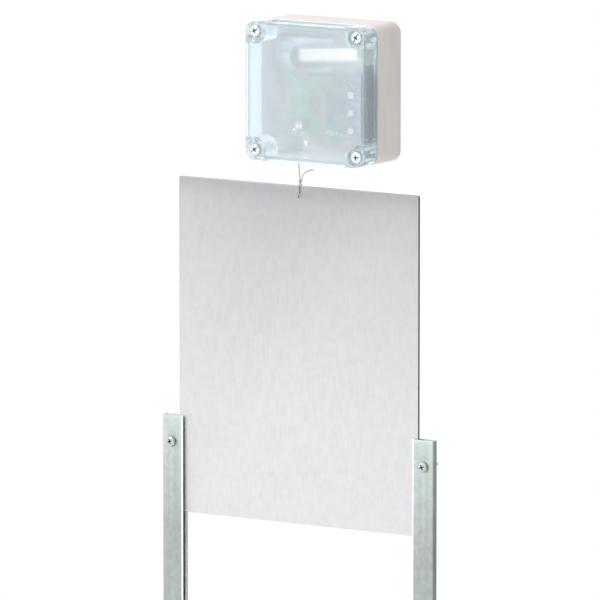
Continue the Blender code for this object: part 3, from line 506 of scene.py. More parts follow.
def clear_look(name, roughness, weight, tint):
    """Clear moulded plastic with a faint blue-green body colour; light reaches what is behind it."""
    look = Look(name, IOR=1.57, Transmission_Weight=weight)
    swirl = look.spread(look.noise(14 * MM, 2), 0.0, 1.0)
    look.link(look.mix(swirl, *tint), "Base Color")
    look.link(look.spread(look.noise(2.5 * MM, 4), roughness * 0.8, roughness * 1.25), "Roughness")
    look.relief(look.noise(30 * MM, 1), 0.001 * MM)
    path = look.node("ShaderNodeLightPath")
    passing = look.node("ShaderNodeBsdfTransparent", Color=(0.99, 1.0, 1.0, 1))
    joined = look.node(
        "ShaderNodeMixShader", i0=path.outputs["Is Shadow Ray"],
        i1=look.shader.outputs[0], i2=passing.outputs[0],
    )
    look.tree.links.new(joined.outputs[0], look.out.inputs["Surface"])
    return look.material


def door_look():
    """Satin aluminium sheet: rolling grain and blotches, a painted reflection that darkens it towards the top,
    and painted shade along its side edges.
    """
    look = Look("door_aluminium_look", Metallic=1.0)
    # Painted reflection: the ramp darkens the sheet towards its top and leaves its lower part paler.
    height = look.axis("Z")
    fall = look.spread(height, 0.0, 1.0, DOOR_HIGH.z, DOOR_LOW.z)
    ramp = look.node("ShaderNodeValToRGB", Fac=fall)
    stops = [
        (0.0, "aaabac"), (0.06, "babbbc"), (0.22, "c8c8c9"),
        (0.46, "d3d3d3"), (0.7, "dcdcdd"), (1.0, "dfe0e0"),
    ]
    ramp.color_ramp.elements[0].color = linear(stops[0][1])
    ramp.color_ramp.elements[1].color = linear(stops[-1][1])
    for place, colour in stops[1:-1]:
        ramp.color_ramp.elements.new(place).color = linear(colour)
    blotch = look.spread(look.noise(7 * MM, 4, 0.6), 0, 1, 0.25, 0.75)
    tinted = look.mix(blotch, "f7f7f9", "ffffff")
    colour = look.mix(1.0, ramp.outputs[0], tinted, "MULTIPLY")
    rolling = look.noise(0.5 * MM, 3, at=look.stretched((1, 1, 0.02)))
    grain = look.mix(look.spread(rolling, 0, 1), "f3f3f4", "ffffff")
    # Painted shade: a dark strip along the sheet's side edges.
    across = look.maths("ABSOLUTE", look.axis("X"))
    edge_shade = look.spread(across, 0, 1, DOOR_HIGH.x - 0.35 * MM, DOOR_HIGH.x - 0.15 * MM)
    sheet = look.mix(1.0, colour, grain, "MULTIPLY")
    look.link(look.mix(edge_shade, sheet, "666667"), "Base Color")
    look.gloss(0.43, 0.49, 4 * MM, 5)
    look.relief(rolling, 0.004 * MM)
    return look.material


def rail_look():
    """Zinc channel: cloudy grey-green, with painted shade that makes it darker lower down and a painted
    highlight along its bent edge.
    """
    look = Look("rail_zinc_look", Metallic=1.0)
    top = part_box("guide_rail_left")[1].z
    # Painted shade: the rail's colour darkens from its top towards the bottom.
    fall = look.spread(look.axis("Z"), 0.0, 1.0, top, top - 100 * MM)
    cloud = look.spread(look.noise(6 * MM, 5, 0.62), 0, 1, 0.3, 0.7)
    upper = look.mix(cloud, "b8c4c0", "c5cecc")
    lower = look.mix(cloud, "9fa6a3", "aeb4b2")
    flakes = look.cells(2.2 * MM)
    shade = look.mix(0.12, look.mix(fall, upper, lower), flakes, "SOFT_LIGHT")
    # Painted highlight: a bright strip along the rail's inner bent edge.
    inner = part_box("guide_rail_right")[0].x
    across = look.maths("ABSOLUTE", look.axis("X"))
    begins = look.spread(across, 0, 1, inner + 0.1 * MM, inner + 0.4 * MM)
    ends = look.spread(across, 1, 0, inner + 1.3 * MM, inner + 2.0 * MM)
    bend = look.maths("MULTIPLY", begins, ends)
    look.link(look.mix(bend, shade, "f4f7f6"), "Base Color")
    look.gloss(0.3, 0.5, 3 * MM, 5)
    drawn = look.noise(0.6 * MM, 3, at=look.stretched((1, 1, 0.02)))
    look.relief(drawn, 0.008 * MM)
    return look.material


def board_look(name, mask, copper, pitch, specks):
    """Solder mask over copper tracks, with bright pads."""
    look = Look(name, Coat_Weight=0.25, Coat_Roughness=0.2)
    flat = look.stretched((1, 0, 1))
    runs = look.node(
        "ShaderNodeTexBrick", {"offset": 0.37, "squash": 1.6, "squash_frequency": 3},
        Vector=look.stretched((1, 1, 1), (math.pi / 2, 0, 0)), Scale=1.0,
        Brick_Width=pitch * 3.1, Row_Height=pitch, Mortar_Size=pitch * 0.11,
    )
    track = runs.outputs["Fac"]
    colour = look.mix(track, look.drift(*mask, 8 * MM), copper)
    pads = look.spread(look.cells(specks, "Distance", flat), 1, 0, 0.1, 0.13)
    look.link(look.mix(pads, colour, "c9ccc6"), "Base Color")
    look.gloss(0.3, 0.42, 2 * MM)
    look.relief(track, 0.03 * MM)
    return look.material


def braid_look():
    """Braided polyester cord: crossing plaits, fuzz and slight soiling."""
    look = Look("braided_cord_look", Sheen_Weight=0.35, Sheen_Roughness=0.5)
    plait_width = 0.55 * MM
    waves = []
    for side in (1, -1):
        wave = look.node(
            "ShaderNodeTexWave", {"bands_direction": "DIAGONAL"}, Vector=look.stretched((side, 1, 1)),
            Scale=0.31 / plait_width / 2, Distortion=0.6,
        )
        waves.append(wave.outputs["Fac"])
    plait = look.maths("MULTIPLY", *waves)
    soiled = look.drift("c2c2c0", "d4d4d3", 3 * MM)
    look.link(look.mix(look.spread(plait, 0, 1, 0, 0.6), "a3a3a2", soiled), "Base Color")
    look.gloss(0.7, 0.9, 0.3 * MM)
    look.relief(plait, 0.08 * MM)
    return look.material


def cell_look():
    """A cell's shrink sleeve: a pale band over a dark one, with fine shrink lines."""
    look = Look("cell_sleeve_look", Coat_Weight=0.3, Coat_Roughness=0.15)
    band = look.spread(look.axis("Z"), 0, 1, 9 * MM, 9.3 * MM)
    dark = look.drift("2f3236", "3d4146", 5 * MM)
    light = look.drift("a8672f", "b8763a", 5 * MM)
    look.link(look.mix(band, dark, light), "Base Color")
    look.gloss(0.25, 0.4, 2 * MM)
    look.relief(look.noise(0.5 * MM, 2, at=look.stretched((1, 1, 0.1))), 0.01 * MM)
    return look.material


def make_looks():
    """Every material, by what it is used on."""
    return {
        "housing": housing_look(),
        "clear": clear_look("clear_plastic_look", 0.03, 0.8, ("e6f5f9", "eff8fc")),
        "frosted": clear_look("frosted_plastic_look", 0.09, 0.65, ("f2f4fd", "f8f9fe")),
        "rubber": moulded("seal_silicone_look", "8f9494", "a0a5a5", 0.55),
        "screw": turned_metal("zinc_screw_look", "d9dbde", "f0f1f3", 0.2),
        "board": board_look("circuit_board_look", ("2f7a55", "38875f"), "4f9d74", 2.3 * MM, 5.1 * MM),
        "strip": board_look("strip_board_look", ("4b5074", "565b80"), "454a6b", 2.9 * MM, 7 * MM),
        "chip": moulded("chip_plastic_look", "1d1e20", "26282b", 0.5, 0.15 * MM, 0.006 * MM),
        "relay": moulded("relay_plastic_look", "23262b", "2e3238", 0.38, 0.2 * MM, 0.006 * MM),
        "capacitor": moulded("capacitor_sleeve_look", "1d2346", "2a3260", 0.33, 0.5 * MM, 0.01 * MM),
        "sensor": moulded("sensor_window_look", "b98a63", "c99d74", 0.3, 0.3 * MM, 0.01 * MM),
        "terminal": moulded("terminal_plastic_look", "2d6a45", "377a51", 0.42, 0.3 * MM, 0.01 * MM),
        "steel": turned_metal("plated_steel_look", "a7aab0", "bcbfc4", 0.34, 4 * MM),
        "motor": turned_metal("motor_steel_look", "8f9298", "a4a7ad", 0.3, 6 * MM),
        "tin": turned_metal("tinned_look", "c8cacc", "dedfe0", 0.25, 1 * MM),
        "spool": moulded("spool_plastic_look", "3a3d42", "46494f", 0.45),
        "gear": moulded("gear_nylon_look", "d8d4c6", "e2dfd3", 0.4, 0.6 * MM),
        "cord": braid_look(),
        "holder": moulded("holder_plastic_look", "696c70", "75787c", 0.5),
        "cell": cell_look(),
        "spring": turned_metal("spring_nickel_look", "b5b6b4", "cccdca", 0.22),
        "led": moulded("led_lens_look", "c9d6c4", "dae4d6", 0.2, 0.4 * MM, 0.005 * MM),
        "cream": moulded("button_cream_look", "efe6cf", "f6efdc", 0.4, 0.3 * MM, 0.008 * MM),
        "ochre": moulded("button_centre_look", "a8895a", "b89b6c", 0.45, 0.3 * MM, 0.008 * MM),
        "red": moulded("lead_red_look", "c42f3a", "d83d48", 0.38, 0.5 * MM, 0.01 * MM),
        "black": moulded("lead_black_look", "1f2022", "2b2c2f", 0.42, 0.5 * MM, 0.01 * MM),
        "door": door_look(),
        "rail": rail_look(),
        "ceramic": moulded("ceramic_look", "b8a184", "c9b496", 0.5, 0.2 * MM, 0.005 * MM),
        # Painted shade: a darker copy of the zinc screw finish, for the rails' screws.
        "rail_screw": turned_metal("rail_screw_look", "b6bbba", "d0d4d3", 0.26),
        # Painted shade: the dark finish for the screws' driver recesses.
        "shadow": turned_metal("screw_recess_painted_shade_look", "3c3e41", "55585c", 0.4),
        "dark": moulded("recess_look", "2a2b2d", "38393c", 0.6),
    }


# ---- Camera, light and floor ----

CAMERA_AIM = Vector((0.0139, -0.0230, -0.1868))
CAMERA_AZIMUTH, CAMERA_ELEVATION = math.radians(33.0), math.radians(8.2)
CAMERA_DISTANCE, LENS, SENSOR = 7.71, 529, 36
KEY_PLACE, KEY_AIM = (-1.5, -2.2, 1.6), (BOX_X, 0, -0.1)
KEY_WIDTH, KEY_HEIGHT, KEY_POWER = 1.4, 1.0, 29
GLINT = Vector((67 * MM, LID_FRONT, 36 * MM))
GLINT_REACH, GLINT_WIDTH, GLINT_HEIGHT, GLINT_POWER = 0.9, 0.055, 0.012, 0.013
DARK_SIDE = (0.86, 0.51, 0.0)
ROOM_BRIGHT, ROOM_DARK = 1.2, 0.42
FLOOR_R = 1.3


def build_stage():
    """The camera at the photograph's angle, soft light and a pale floor."""
    back = Vector((
        math.sin(CAMERA_AZIMUTH) * math.cos(CAMERA_ELEVATION),
        -math.cos(CAMERA_AZIMUTH) * math.cos(CAMERA_ELEVATION),
        math.sin(CAMERA_ELEVATION),
    ))
    data = bpy.data.cameras.new("camera")
    data.lens = LENS
    data.sensor_width = SENSOR
    data.clip_end = 100
    camera = bpy.data.objects.new("camera", data)
    camera.location = CAMERA_AIM + back * CAMERA_DISTANCE
    camera.rotation_mode = "QUATERNION"
    camera.rotation_quaternion = (-back).to_track_quat("-Z", "Y")
    bpy.context.scene.collection.objects.link(camera)
    bpy.context.scene.camera = camera
    bpy.context.scene.view_settings.view_transform = "Standard"

    world = bpy.data.worlds.new("studio")
    world.use_nodes = True
    light_room(world.node_tree)
    bpy.context.scene.world = world

    softbox("key_light", KEY_PLACE, KEY_WIDTH, KEY_HEIGHT, KEY_POWER, KEY_AIM)
    seen = (camera.location - GLINT).normalized()
    mirrored = Vector((-seen.x, seen.y, -seen.z))
    softbox("window_light", GLINT + mirrored * GLINT_REACH, GLINT_WIDTH, GLINT_HEIGHT, GLINT_POWER, GLINT)

    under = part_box("guide_rail_left")[0].z - 4 * MM
    rim = [(0, 0), (FLOOR_R, 0), (1.4, -10 * MM), (0, -10 * MM)]
    bm = lathe(bmesh.new(), (0, 0, under), rim, "Z", 96)
    floor = bpy.data.objects.new("floor", mesh_of("floor", bm))
    floor_look = Look("floor_look", Roughness=0.9)
    floor_look.link(floor_look.drift("f4f4f4", "f9f9f9", 0.2), "Base Color")
    floor.data.materials.append(floor_look.material)
    bpy.context.scene.collection.objects.link(floor)


def light_room(tree):
    """A white studio that darkens towards one side; the camera itself sees plain white."""
    room = tree.nodes["Background"]
    direction = wired(tree, "ShaderNodeTexCoord").outputs["Generated"]
    facing = wired(tree, "ShaderNodeVectorMath", {"operation": "DOT_PRODUCT"}, i0=direction, i1=DARK_SIDE)
    shade = wired(
        tree, "ShaderNodeMapRange", {"interpolation_type": "SMOOTHSTEP"}, Value=facing.outputs["Value"],
        From_Min=0.15, From_Max=0.9, To_Min=ROOM_BRIGHT, To_Max=ROOM_DARK,
    )
    tree.links.new(shade.outputs["Result"], room.inputs["Strength"])
    room.inputs["Color"].default_value = (1, 1, 1, 1)
    plain = wired(tree, "ShaderNodeBackground", Color=(1, 1, 1, 1))
    path = wired(tree, "ShaderNodeLightPath")
    seen = wired(
        tree, "ShaderNodeMixShader", i0=path.outputs["Is Camera Ray"],
        i1=room.outputs[0], i2=plain.outputs[0],
    )
    tree.links.new(seen.outputs[0], tree.nodes["World Output"].inputs["Surface"])


def softbox(name, at, width, height, power, target):
    """A rectangular lamp that faces a target."""
    data = bpy.data.lights.new(name, "AREA")
    data.shape = "RECTANGLE"
    data.size, data.size_y = width, height
    data.energy = power
    lamp = bpy.data.objects.new(name, data)
    lamp.location = at
    lamp.rotation_mode = "QUATERNION"
    lamp.rotation_quaternion = (Vector(target) - Vector(at)).to_track_quat("-Z", "Y")
    bpy.context.scene.collection.objects.link(lamp)


# ---- Lift cord ----

CORD_EXIT = (1.5, -7, -62.9)
CORD_ROUTE = [
    CORD_EXIT, (1.5, -5.375, -73.25), (1.5, -3.75, -83.6), (1.5, -3.75, -85.3),
    (1.5, -4.5, -87.1), (1.5, -5.55, -88.5), (1.5, -5.95, -90.6),
    *[(1.5, -3.75 + y, z) for y, z in arc((0, -96.0), 2.2, 180, 360, 8)],
    (1.5, -1.55, -90.6), (1.5, -1.95, -88.5), (1.5, -3.0, -87.1), (1.9, -3.4, -85.9),
    (3.0, -3.95, -85.4), (3.7, -4.3, -84.0), (3.95, -4.45, -82.2), (5.4, -4.85, -79.1),
    (7.9, -5.15, -76.7), (11.6, -5.45, -74.9), (16.4, -5.65, -73.7),
]


def add_braid(name, path, radius, sides, nodes, body):
    """A length of the braided cord."""
    bm = tube(bmesh.new(), path, radius, sides, strands=4, lay=3.2 * MM, relief=0.14)
    return add(name, mesh_of(name, bm, 80), "cord", nodes, body)


def build_cord():
    """The cord from the box down to the door, its loop, knot and tail, and the cord inside the box."""
    path = smooth_route(CORD_ROUTE, 0.3 * MM)
    line = add_braid("lift_cord_braid", path, CORD_D / 2, 12, ("lift_cord", "cord_loop", "cord_tail"), None)

    turns, steps, radius, height = 2.5, 60, 0.95 * MM, 1.9 * MM
    centre = Vector((CORD_X, DOOR_MIDDLE, -85.3 * MM))
    wrap = []
    for i in range(steps + 1):
        share = i / steps
        angle = 2 * math.pi * turns * share
        lean = 0.35 * MM * math.sin(angle)
        offset = (radius * math.cos(angle), radius * math.sin(angle), (0.5 - share) * height + lean)
        wrap.append(centre + Vector(offset))
    lump = add_braid("lift_cord_knot", wrap, 0.5 * MM, 10, "cord_knot", "door")

    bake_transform(line)

    drop = smooth_route([(1.5, -7, 29.5), (1.5, -7, 0), (1.5, -7, -63)], 0.5 * MM)
    add_braid("lift_cord_inside", drop, CORD_D / 2, 12, "lift_cord_inner", "housing")

    turns, per_turn = 6, 64
    first = SPOOL_BACK - 1.2 * MM - GAP - CORD_D / 2
    reach = DRUM_R + CORD_D / 2
    coil = []
    for i in range(turns * per_turn + 1):
        angle = 2 * math.pi * i / per_turn
        y = first - CORD_D * 0.97 * i / per_turn
        coil.append(Vector((SPOOL_X - reach * math.cos(angle), y, SPOOL_Z + reach * math.sin(angle))))
    add_braid("cord_winding_braid", coil, CORD_D / 2, 8, "cord_winding", "spool")


# ---- Control box ----

def seal_ring(grown, back, deeper):
    """The seal's ring, or its groove when grown by a clearance."""
    middle, corner = BOX_HALF - BASE_WALL / 2, CORNER_R - BASE_WALL / 2
    reach = SEAL_WIDTH / 2 + grown
    outer = rounded_square(middle + reach, corner + reach)
    inner = rounded_square(middle - reach, corner - reach)
    return ring_body(bmesh.new(), outer, inner, back, LID_BACK - SEAL_DEPTH - deeper)


def build_lid():
    """The clear cover: flange, four screw towers and a flat front frosted on its inner face."""
    bm = prism(bmesh.new(), rounded_square(BOX_HALF, CORNER_R), LID_BACK, LID_FRONT)
    cutter = bmesh.new()
    depth = (LID_BACK - LID_FLANGE, LID_FRONT + LID_RIM)
    inner, outer = BOX_HALF - LID_STEP, BOX_HALF + MM
    reach = BOX_HALF - TOWER
    for side in (-1, 1):
        edges = sorted((side * inner, side * outer))
        block(cutter, (BOX_X + edges[0], BOX_X + edges[1]), depth, (-reach, reach))
        block(cutter, around(BOX_X, reach), depth, edges)
    mesh = carved(mesh_of("lid_clear", bm), cutter)
    inside = BOX_HALF - LID_STEP - LID_WALL
    hollow = prism(bmesh.new(), square_with_posts(inside, LID_POST_R), LID_BACK + MM, LID_FRONT + LID_WALL)
    floor = LID_FRONT + POCKET_DEPTH
    for x, z in screw_places():
        stepped = [
            (0, LID_BACK + MM), (LID_SCREW_HOLE_R, LID_BACK + MM), (LID_SCREW_HOLE_R, floor),
            (POCKET_R, floor), (POCKET_R, LID_FRONT - MM), (0, LID_FRONT - MM),
        ]
        lathe(hollow, (x, 0, z), stepped, segments=48)
    mesh = carved(mesh, hollow)
    mesh = carved(mesh, seal_ring(GAP, LID_BACK + MM, GAP))
    mesh = rounded(mesh, 0.45 * MM, 3, 50)
    mesh = evaluated(mesh, "WEIGHTED_NORMAL", keep_sharp=True, weight=100)
    window = LID_FRONT + LID_WALL
    for face in mesh.polygons:
        inner_face = abs(face.center.y - window) < 0.02 * MM and face.normal.y > 0.9
        face.material_index = 1 if inner_face else 0
    add("lid_clear", mesh, ("clear", "frosted"), "lid", body="lid_body")

    ring = rounded(mesh_of("lid_seal_ring", seal_ring(0, LID_BACK, 0)), 0.25 * MM, 2)
    add("lid_seal_ring", ring, "rubber", "lid_seal", body="lid_body")


def standoff_places():
    """The board's four standoffs: the first two take screws, the last two carry pins."""
    low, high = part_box("main_board")
    inset = 4.5 * MM
    left, right = low.x + inset, high.x - inset
    bottom, top = low.z + inset, high.z - inset
    return [(right, top), (left, bottom), (left, top), (right, bottom)]


def bracket_places():
    """The three pillars that carry the winch bracket."""
    return [(-9.5 * MM, SPOOL_Z), (44 * MM, 39.5 * MM), (44 * MM, 20.5 * MM)]


def build_base():
    """The grey half of the box, with its screw posts, standoffs, ribs and holes."""
    board_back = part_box("main_board")[1].y
    bracket_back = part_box("motor_bracket")[1].y
    holder_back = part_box("battery_holder")[1].y
    bm = prism(bmesh.new(), rounded_square(BOX_HALF, CORNER_R), 0, BASE_FRONT)
    inside = square_with_posts(BOX_HALF - BASE_WALL, BASE_POST_R)
    hollow = prism(bmesh.new(), inside, -BASE_WALL, BASE_FRONT - MM)
    mesh = rounded(carved(mesh_of("base_shell", bm), hollow), 0.5 * MM, 3, 50)

    holes = bmesh.new()
    for x, z in screw_places():
        cylinder(holes, (x, 0, z), LID_SCREW_HOLE_R, -22 * MM, BASE_FRONT - MM, segments=32)
    for side_x in (-1, 1):
        for side_z in (-1, 1):
            place = (BOX_X + side_x * WALL_HOLE_X, 0, side_z * WALL_HOLE_Z)
            sink_r = WALL_HOLE_R * 1.8
            sunk = [(0, MM), (WALL_HOLE_R, MM), (WALL_HOLE_R, -2.2 * MM), (sink_r, -BASE_WALL - 0.1 * MM),
                    (sink_r, -BASE_WALL - MM), (0, -BASE_WALL - MM)]
            lathe(holes, place, sunk, segments=32)
    cylinder(holes, (SPOOL_X, 0, SPOOL_Z), AXLE_R + GAP, -1.4 * MM, -BASE_WALL - MM, segments=32)
    outlet = (CORD_X, CORD_Y, -BOX_HALF)
    cylinder(holes, outlet, 3.3 * MM, -MM, BASE_WALL + MM, axis="Z", segments=32)
    mesh = shaded(carved(mesh, holes), 50)
    add("base_shell", mesh, "housing", "housing_base")

    bosses = bmesh.new()
    root = -BASE_WALL + 0.05 * MM
    for index, (x, z) in enumerate(standoff_places() + bracket_places()):
        pinned = index in (2, 3)
        top = (board_back if index < 4 else bracket_back) + GAP
        bore = 0 if pinned else 1.4 * MM
        profile = [(0, root), (4.2 * MM, root), (3.4 * MM, root - 1.5 * MM), (3.0 * MM, top + 0.4 * MM),
                   (2.7 * MM, top)]
        if pinned:
            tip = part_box("main_board")[0].y - MM
            profile += [(1.3 * MM, top), (1.3 * MM, tip + 0.3 * MM), (1.0 * MM, tip), (0, tip)]
        else:
            profile += [(bore, top), (bore, top + 8 * MM), (0, top + 8 * MM)]
        lathe(bosses, (x, 0, z), profile, segments=28)
        for spoke in range(4):
            angle = math.pi / 4 + spoke * math.pi / 2
            rib(bosses, (x, z), angle, root, top + 4 * MM)
    for low in (-30 * MM, 10 * MM):
        soft_block(bosses, (84 * MM, 95 * MM), (root, holder_back + GAP), (low, low + 6 * MM), 0.4 * MM)
    add("base_standoffs", bosses, "housing")


def rib(bm, place, angle, root, tip):
    """A thin web that stiffens a standoff, tapering towards its top."""
    along = Vector((math.cos(angle), 0, math.sin(angle)))
    across = Vector((-math.sin(angle), 0, math.cos(angle))) * 0.45 * MM
    at = Vector((place[0], 0, place[1]))
    corners = [(2.6 * MM, root), (5.4 * MM, root), (2.9 * MM, tip), (2.6 * MM, tip)]
    sides = []
    for sign in (-1, 1):
        sides.append([bm.verts.new(at + along * r + across * sign + Vector((0, y, 0))) for r, y in corners])
    bm.faces.new(sides[0])
    bm.faces.new(sides[1])
    skin(bm, [sides])


# Screws: head radius and height, shank radius and length, and the driver recess's long arm,
# short arm and half width
LID_SCREW = (5.5 * MM, 3 * MM, 1.75 * MM, 33 * MM, (5.1 * MM, 2.2 * MM, 0.5 * MM))
RAIL_SCREW = (4.5 * MM, 3 * MM, 2.1 * MM, 23.5 * MM, (2.3 * MM, 2.3 * MM, 0.5 * MM))
BOARD_SCREW = (2.8 * MM, 1.9 * MM, 1.3 * MM, 8 * MM, (1.5 * MM, 1.5 * MM, 0.3 * MM))
MOTOR_SCREW = (2.2 * MM, 1.3 * MM, 1.2 * MM, 5 * MM, (1.2 * MM, 1.2 * MM, 0.25 * MM))


def screw_body(name, head_r, head_h, shank_r, length, arms, turn, segments):
    """A pan-head screw along Y: domed head with a crossed driver recess, and a threaded shank.
    The recess's faces have material index 1, for a darker finish that paints shade into the recess."""
    bm = bmesh.new()
    profile = [(0, -head_h)]
    for i in range(7):
        angle = math.radians(90 * i / 6)
        profile.append((head_r * (0.62 + 0.38 * math.sin(angle)),
                        -head_h * (0.35 + 0.65 * math.cos(angle))))
    profile += [(head_r, -0.08 * head_h), (head_r * 0.96, 0), (shank_r, 0)]
    pitch = shank_r * 0.8
    turns = int((length * 0.8) / pitch)
    start = length - pitch * turns - shank_r
    for i in range(turns):
        y = start + pitch * i
        profile += [(shank_r * 0.78, y), (shank_r, y + pitch * 0.45), (shank_r, y + pitch * 0.55)]
    profile += [(shank_r * 0.7, length - shank_r), (0, length)]
    lathe(bm, (0, 0, 0), profile, segments=segments)
    recess = bmesh.new()
    long_arm, short_arm, half_width = arms
    c, s = math.cos(math.radians(turn)), math.sin(math.radians(turn))
    wide = half_width * 1.15
    for reach, width, depth, crossed in (
        (long_arm, half_width, 0.42, False), (short_arm, wide, 0.75, False), (short_arm, wide, 0.75, True)
    ):
        corners = [(-reach, -width), (reach, -width), (reach, width), (-reach, width)]
        if crossed:
            corners = [(-v, u) for u, v in corners]
        outline = [(u * c - v * s, u * s + v * c) for u, v in corners]
        slot = prism(bmesh.new(), outline, -head_h * 1.5, -head_h * (1 - depth))
        recess.from_mesh(mesh_of("slot", slot))
    made = shaded(carved(mesh_of(name, bm), recess, use_self=True), 40)
    # Recess faces get the second finish, which is painted shade.
    for face in made.polygons:
        reach = math.hypot(face.center.x, face.center.z)
        in_head = reach < long_arm and face.center.y < -0.05 * head_h
        dome = -head_h * (0.97 if reach < head_r * 0.6 else 0.3)
        bottom = face.center.y > dome and face.normal.y < -0.9
        face.material_index = int(in_head and (bottom or abs(face.normal.y) < 0.3))
    return made


def put_screw(node, size, turn, finish="screw", body="housing", place=None, segments=40, backwards=False):
    """A screw at its CAD node, or at an (x, z) place of its own."""
    low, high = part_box(node)
    x, z = place or ((low.x + high.x) / 2, (low.z + high.z) / 2)
    head_h = size[1]
    y = low.y + head_h
    mesh = screw_body(node, *size, turn, segments)
    if backwards:
        mesh.transform(Matrix.Rotation(math.pi, 4, "Z"))
        y = high.y - head_h
    mesh.transform(Matrix.Translation((x, y, z)))
    add(node + "_zinc", mesh, (finish, "shadow"), node, body)


def build_screws():
    """The lid's and the rails' screws, and the small ones inside."""
    for number, turn in enumerate((25, 60, 35, 10), 1):
        put_screw(f"lid_screw_{number}", LID_SCREW, turn, body="lid_body", place=screw_places()[number - 1])
    for side in ("left", "right"):
        for end, turn in (("top", 20), ("bottom", 65)):
            # The rails' screws take the darker copy of the zinc finish, which is painted shade.
            put_screw(f"rail_screw_{side}_{end}", RAIL_SCREW, turn, "rail_screw")
    for node in ("board_screw_1", "board_screw_2", "bracket_screw_1", "bracket_screw_2", "bracket_screw_3"):
        put_screw(node, BOARD_SCREW, 15, segments=24)
    for node in ("motor_screw_1", "motor_screw_2"):
        put_screw(node, MOTOR_SCREW, 30, segments=24, backwards=True)


def build_eyelet():
    """The bush in the box's floor that the cord runs through, with a flared mouth."""
    low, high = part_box("cord_eyelet")
    bore, lip, neck = 1.1 * MM, 4.4 * MM, 3.0 * MM
    outside = -BOX_HALF - GAP
    inside = -BOX_HALF + BASE_WALL + GAP
    profile = [
        (bore, high.z - 0.6 * MM), (bore, low.z + 0.7 * MM), (bore + 0.2 * MM, low.z + 0.25 * MM),
        (bore + 0.7 * MM, low.z), (lip - 0.5 * MM, low.z), (lip - 0.12 * MM, low.z + 0.2 * MM),
        (lip, low.z + 0.6 * MM), (lip, outside), (neck, outside), (neck, inside),
        (neck + 0.6 * MM, inside), (neck + 0.2 * MM, high.z - 0.2 * MM), (bore + 0.6 * MM, high.z),
        (bore + 0.2 * MM, high.z - 0.2 * MM),
    ]
    bm = lathe(bmesh.new(), (CORD_X, CORD_Y, 0), profile, "Z", 40, bored=True)
    add("cord_eyelet_bush", bm, "dark", "cord_eyelet")


# ---- Door and rails ----

def build_door():
    """The sheet door: dressed edges and corners, and a deburred hole for the cord."""
    corner = 1.6 * MM
    low, high = DOOR_LOW, DOOR_HIGH
    outline = arc((high.x - corner, high.z - corner), corner, 0, 90, 6)
    outline += arc((low.x + corner, high.z - corner), corner, 90, 180, 6)
    outline += arc((low.x + corner, low.z + corner), corner, 180, 270, 6)
    outline += arc((high.x - corner, low.z + corner), corner, 270, 360, 6)
    bm = prism(bmesh.new(), outline, low.y, high.y)
    mesh = rounded(mesh_of("door_sheet", bm), 0.45 * MM, 3)
    hole = bmesh.new()
    rim = 0.3 * MM
    mouth = [
        (0, high.y + MM), (HOLE_R + rim, high.y + MM), (HOLE_R + rim, high.y), (HOLE_R, high.y - rim),
        (HOLE_R, low.y + rim), (HOLE_R + rim, low.y), (HOLE_R + rim, low.y - MM), (0, low.y - MM),
    ]
    lathe(hole, (CORD_X, 0, HOLE_Z), mouth, segments=40)
    mesh = shaded(carved(mesh, hole), 40)
    add("door_sheet", mesh, "door", "door_panel", body="door")


def channel_outline(side, low, high):
    """The rail's section: a U of sheet with bent corners, open towards the door."""
    inner = min(abs(low.x), abs(high.x))
    outer = max(abs(low.x), abs(high.x))
    front, sheet, bend = low.y, RAIL_SHEET, 2.2 * MM
    points = [(inner, 0)]
    points += arc((outer - bend, -bend), bend, 90, 0, 6)
    points += arc((outer - bend, front + bend), bend, 0, -90, 6)
    points += arc((inner + 0.5 * sheet, front + 0.5 * sheet), 0.5 * sheet, -90, -270, 6)
    tight = bend - sheet
    points += arc((outer - bend, front + bend), tight, -90, 0, 4)
    points += arc((outer - bend, -bend), tight, 0, 90, 4)
    points += [(inner, -sheet)]
    return [(side * x, y) for x, y in points]


def build_rails():
    """The two guide channels."""
    for word, side in (("left", -1), ("right", 1)):
        node = f"guide_rail_{word}"
        low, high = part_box(node)
        bm = prism(bmesh.new(), channel_outline(side, low, high), low.z, high.z, axis="Z")
        mesh = mesh_of(node, bm)
        holes = bmesh.new()
        for end in ("top", "bottom"):
            x, _, z = node_centre(f"rail_screw_{word}_{end}")
            cylinder(holes, (x, 0, z), RAIL_HOLE_R, MM, low.y - MM, segments=32)
        mesh = rounded(carved(mesh, holes), 0.18 * MM, 2, 50)
        add(node + "_channel", mesh, "rail", node)


# ---- Winch ----

def gear_outline(teeth, turned_by):
    """A spur gear's outline, with curved flanks and rounded roots."""
    pitch_r = MODULE * teeth / 2
    tip, root = pitch_r + 0.85 * MODULE, pitch_r - 1.1 * MODULE
    pitch = 2 * math.pi / teeth
    flank = [(root, 0.34), (root + 0.25 * MODULE, 0.275), (pitch_r, 0.2), (tip - 0.2 * MODULE, 0.13),
             (tip, 0.1)]
    points = []
    for i in range(teeth):
        middle = pitch * i + turned_by
        for sign, side in ((-1, flank), (1, flank[::-1])):
            for radius, offset in side:
                angle = middle + sign * pitch * offset
                points.append((radius * math.cos(angle), radius * math.sin(angle)))
    return points


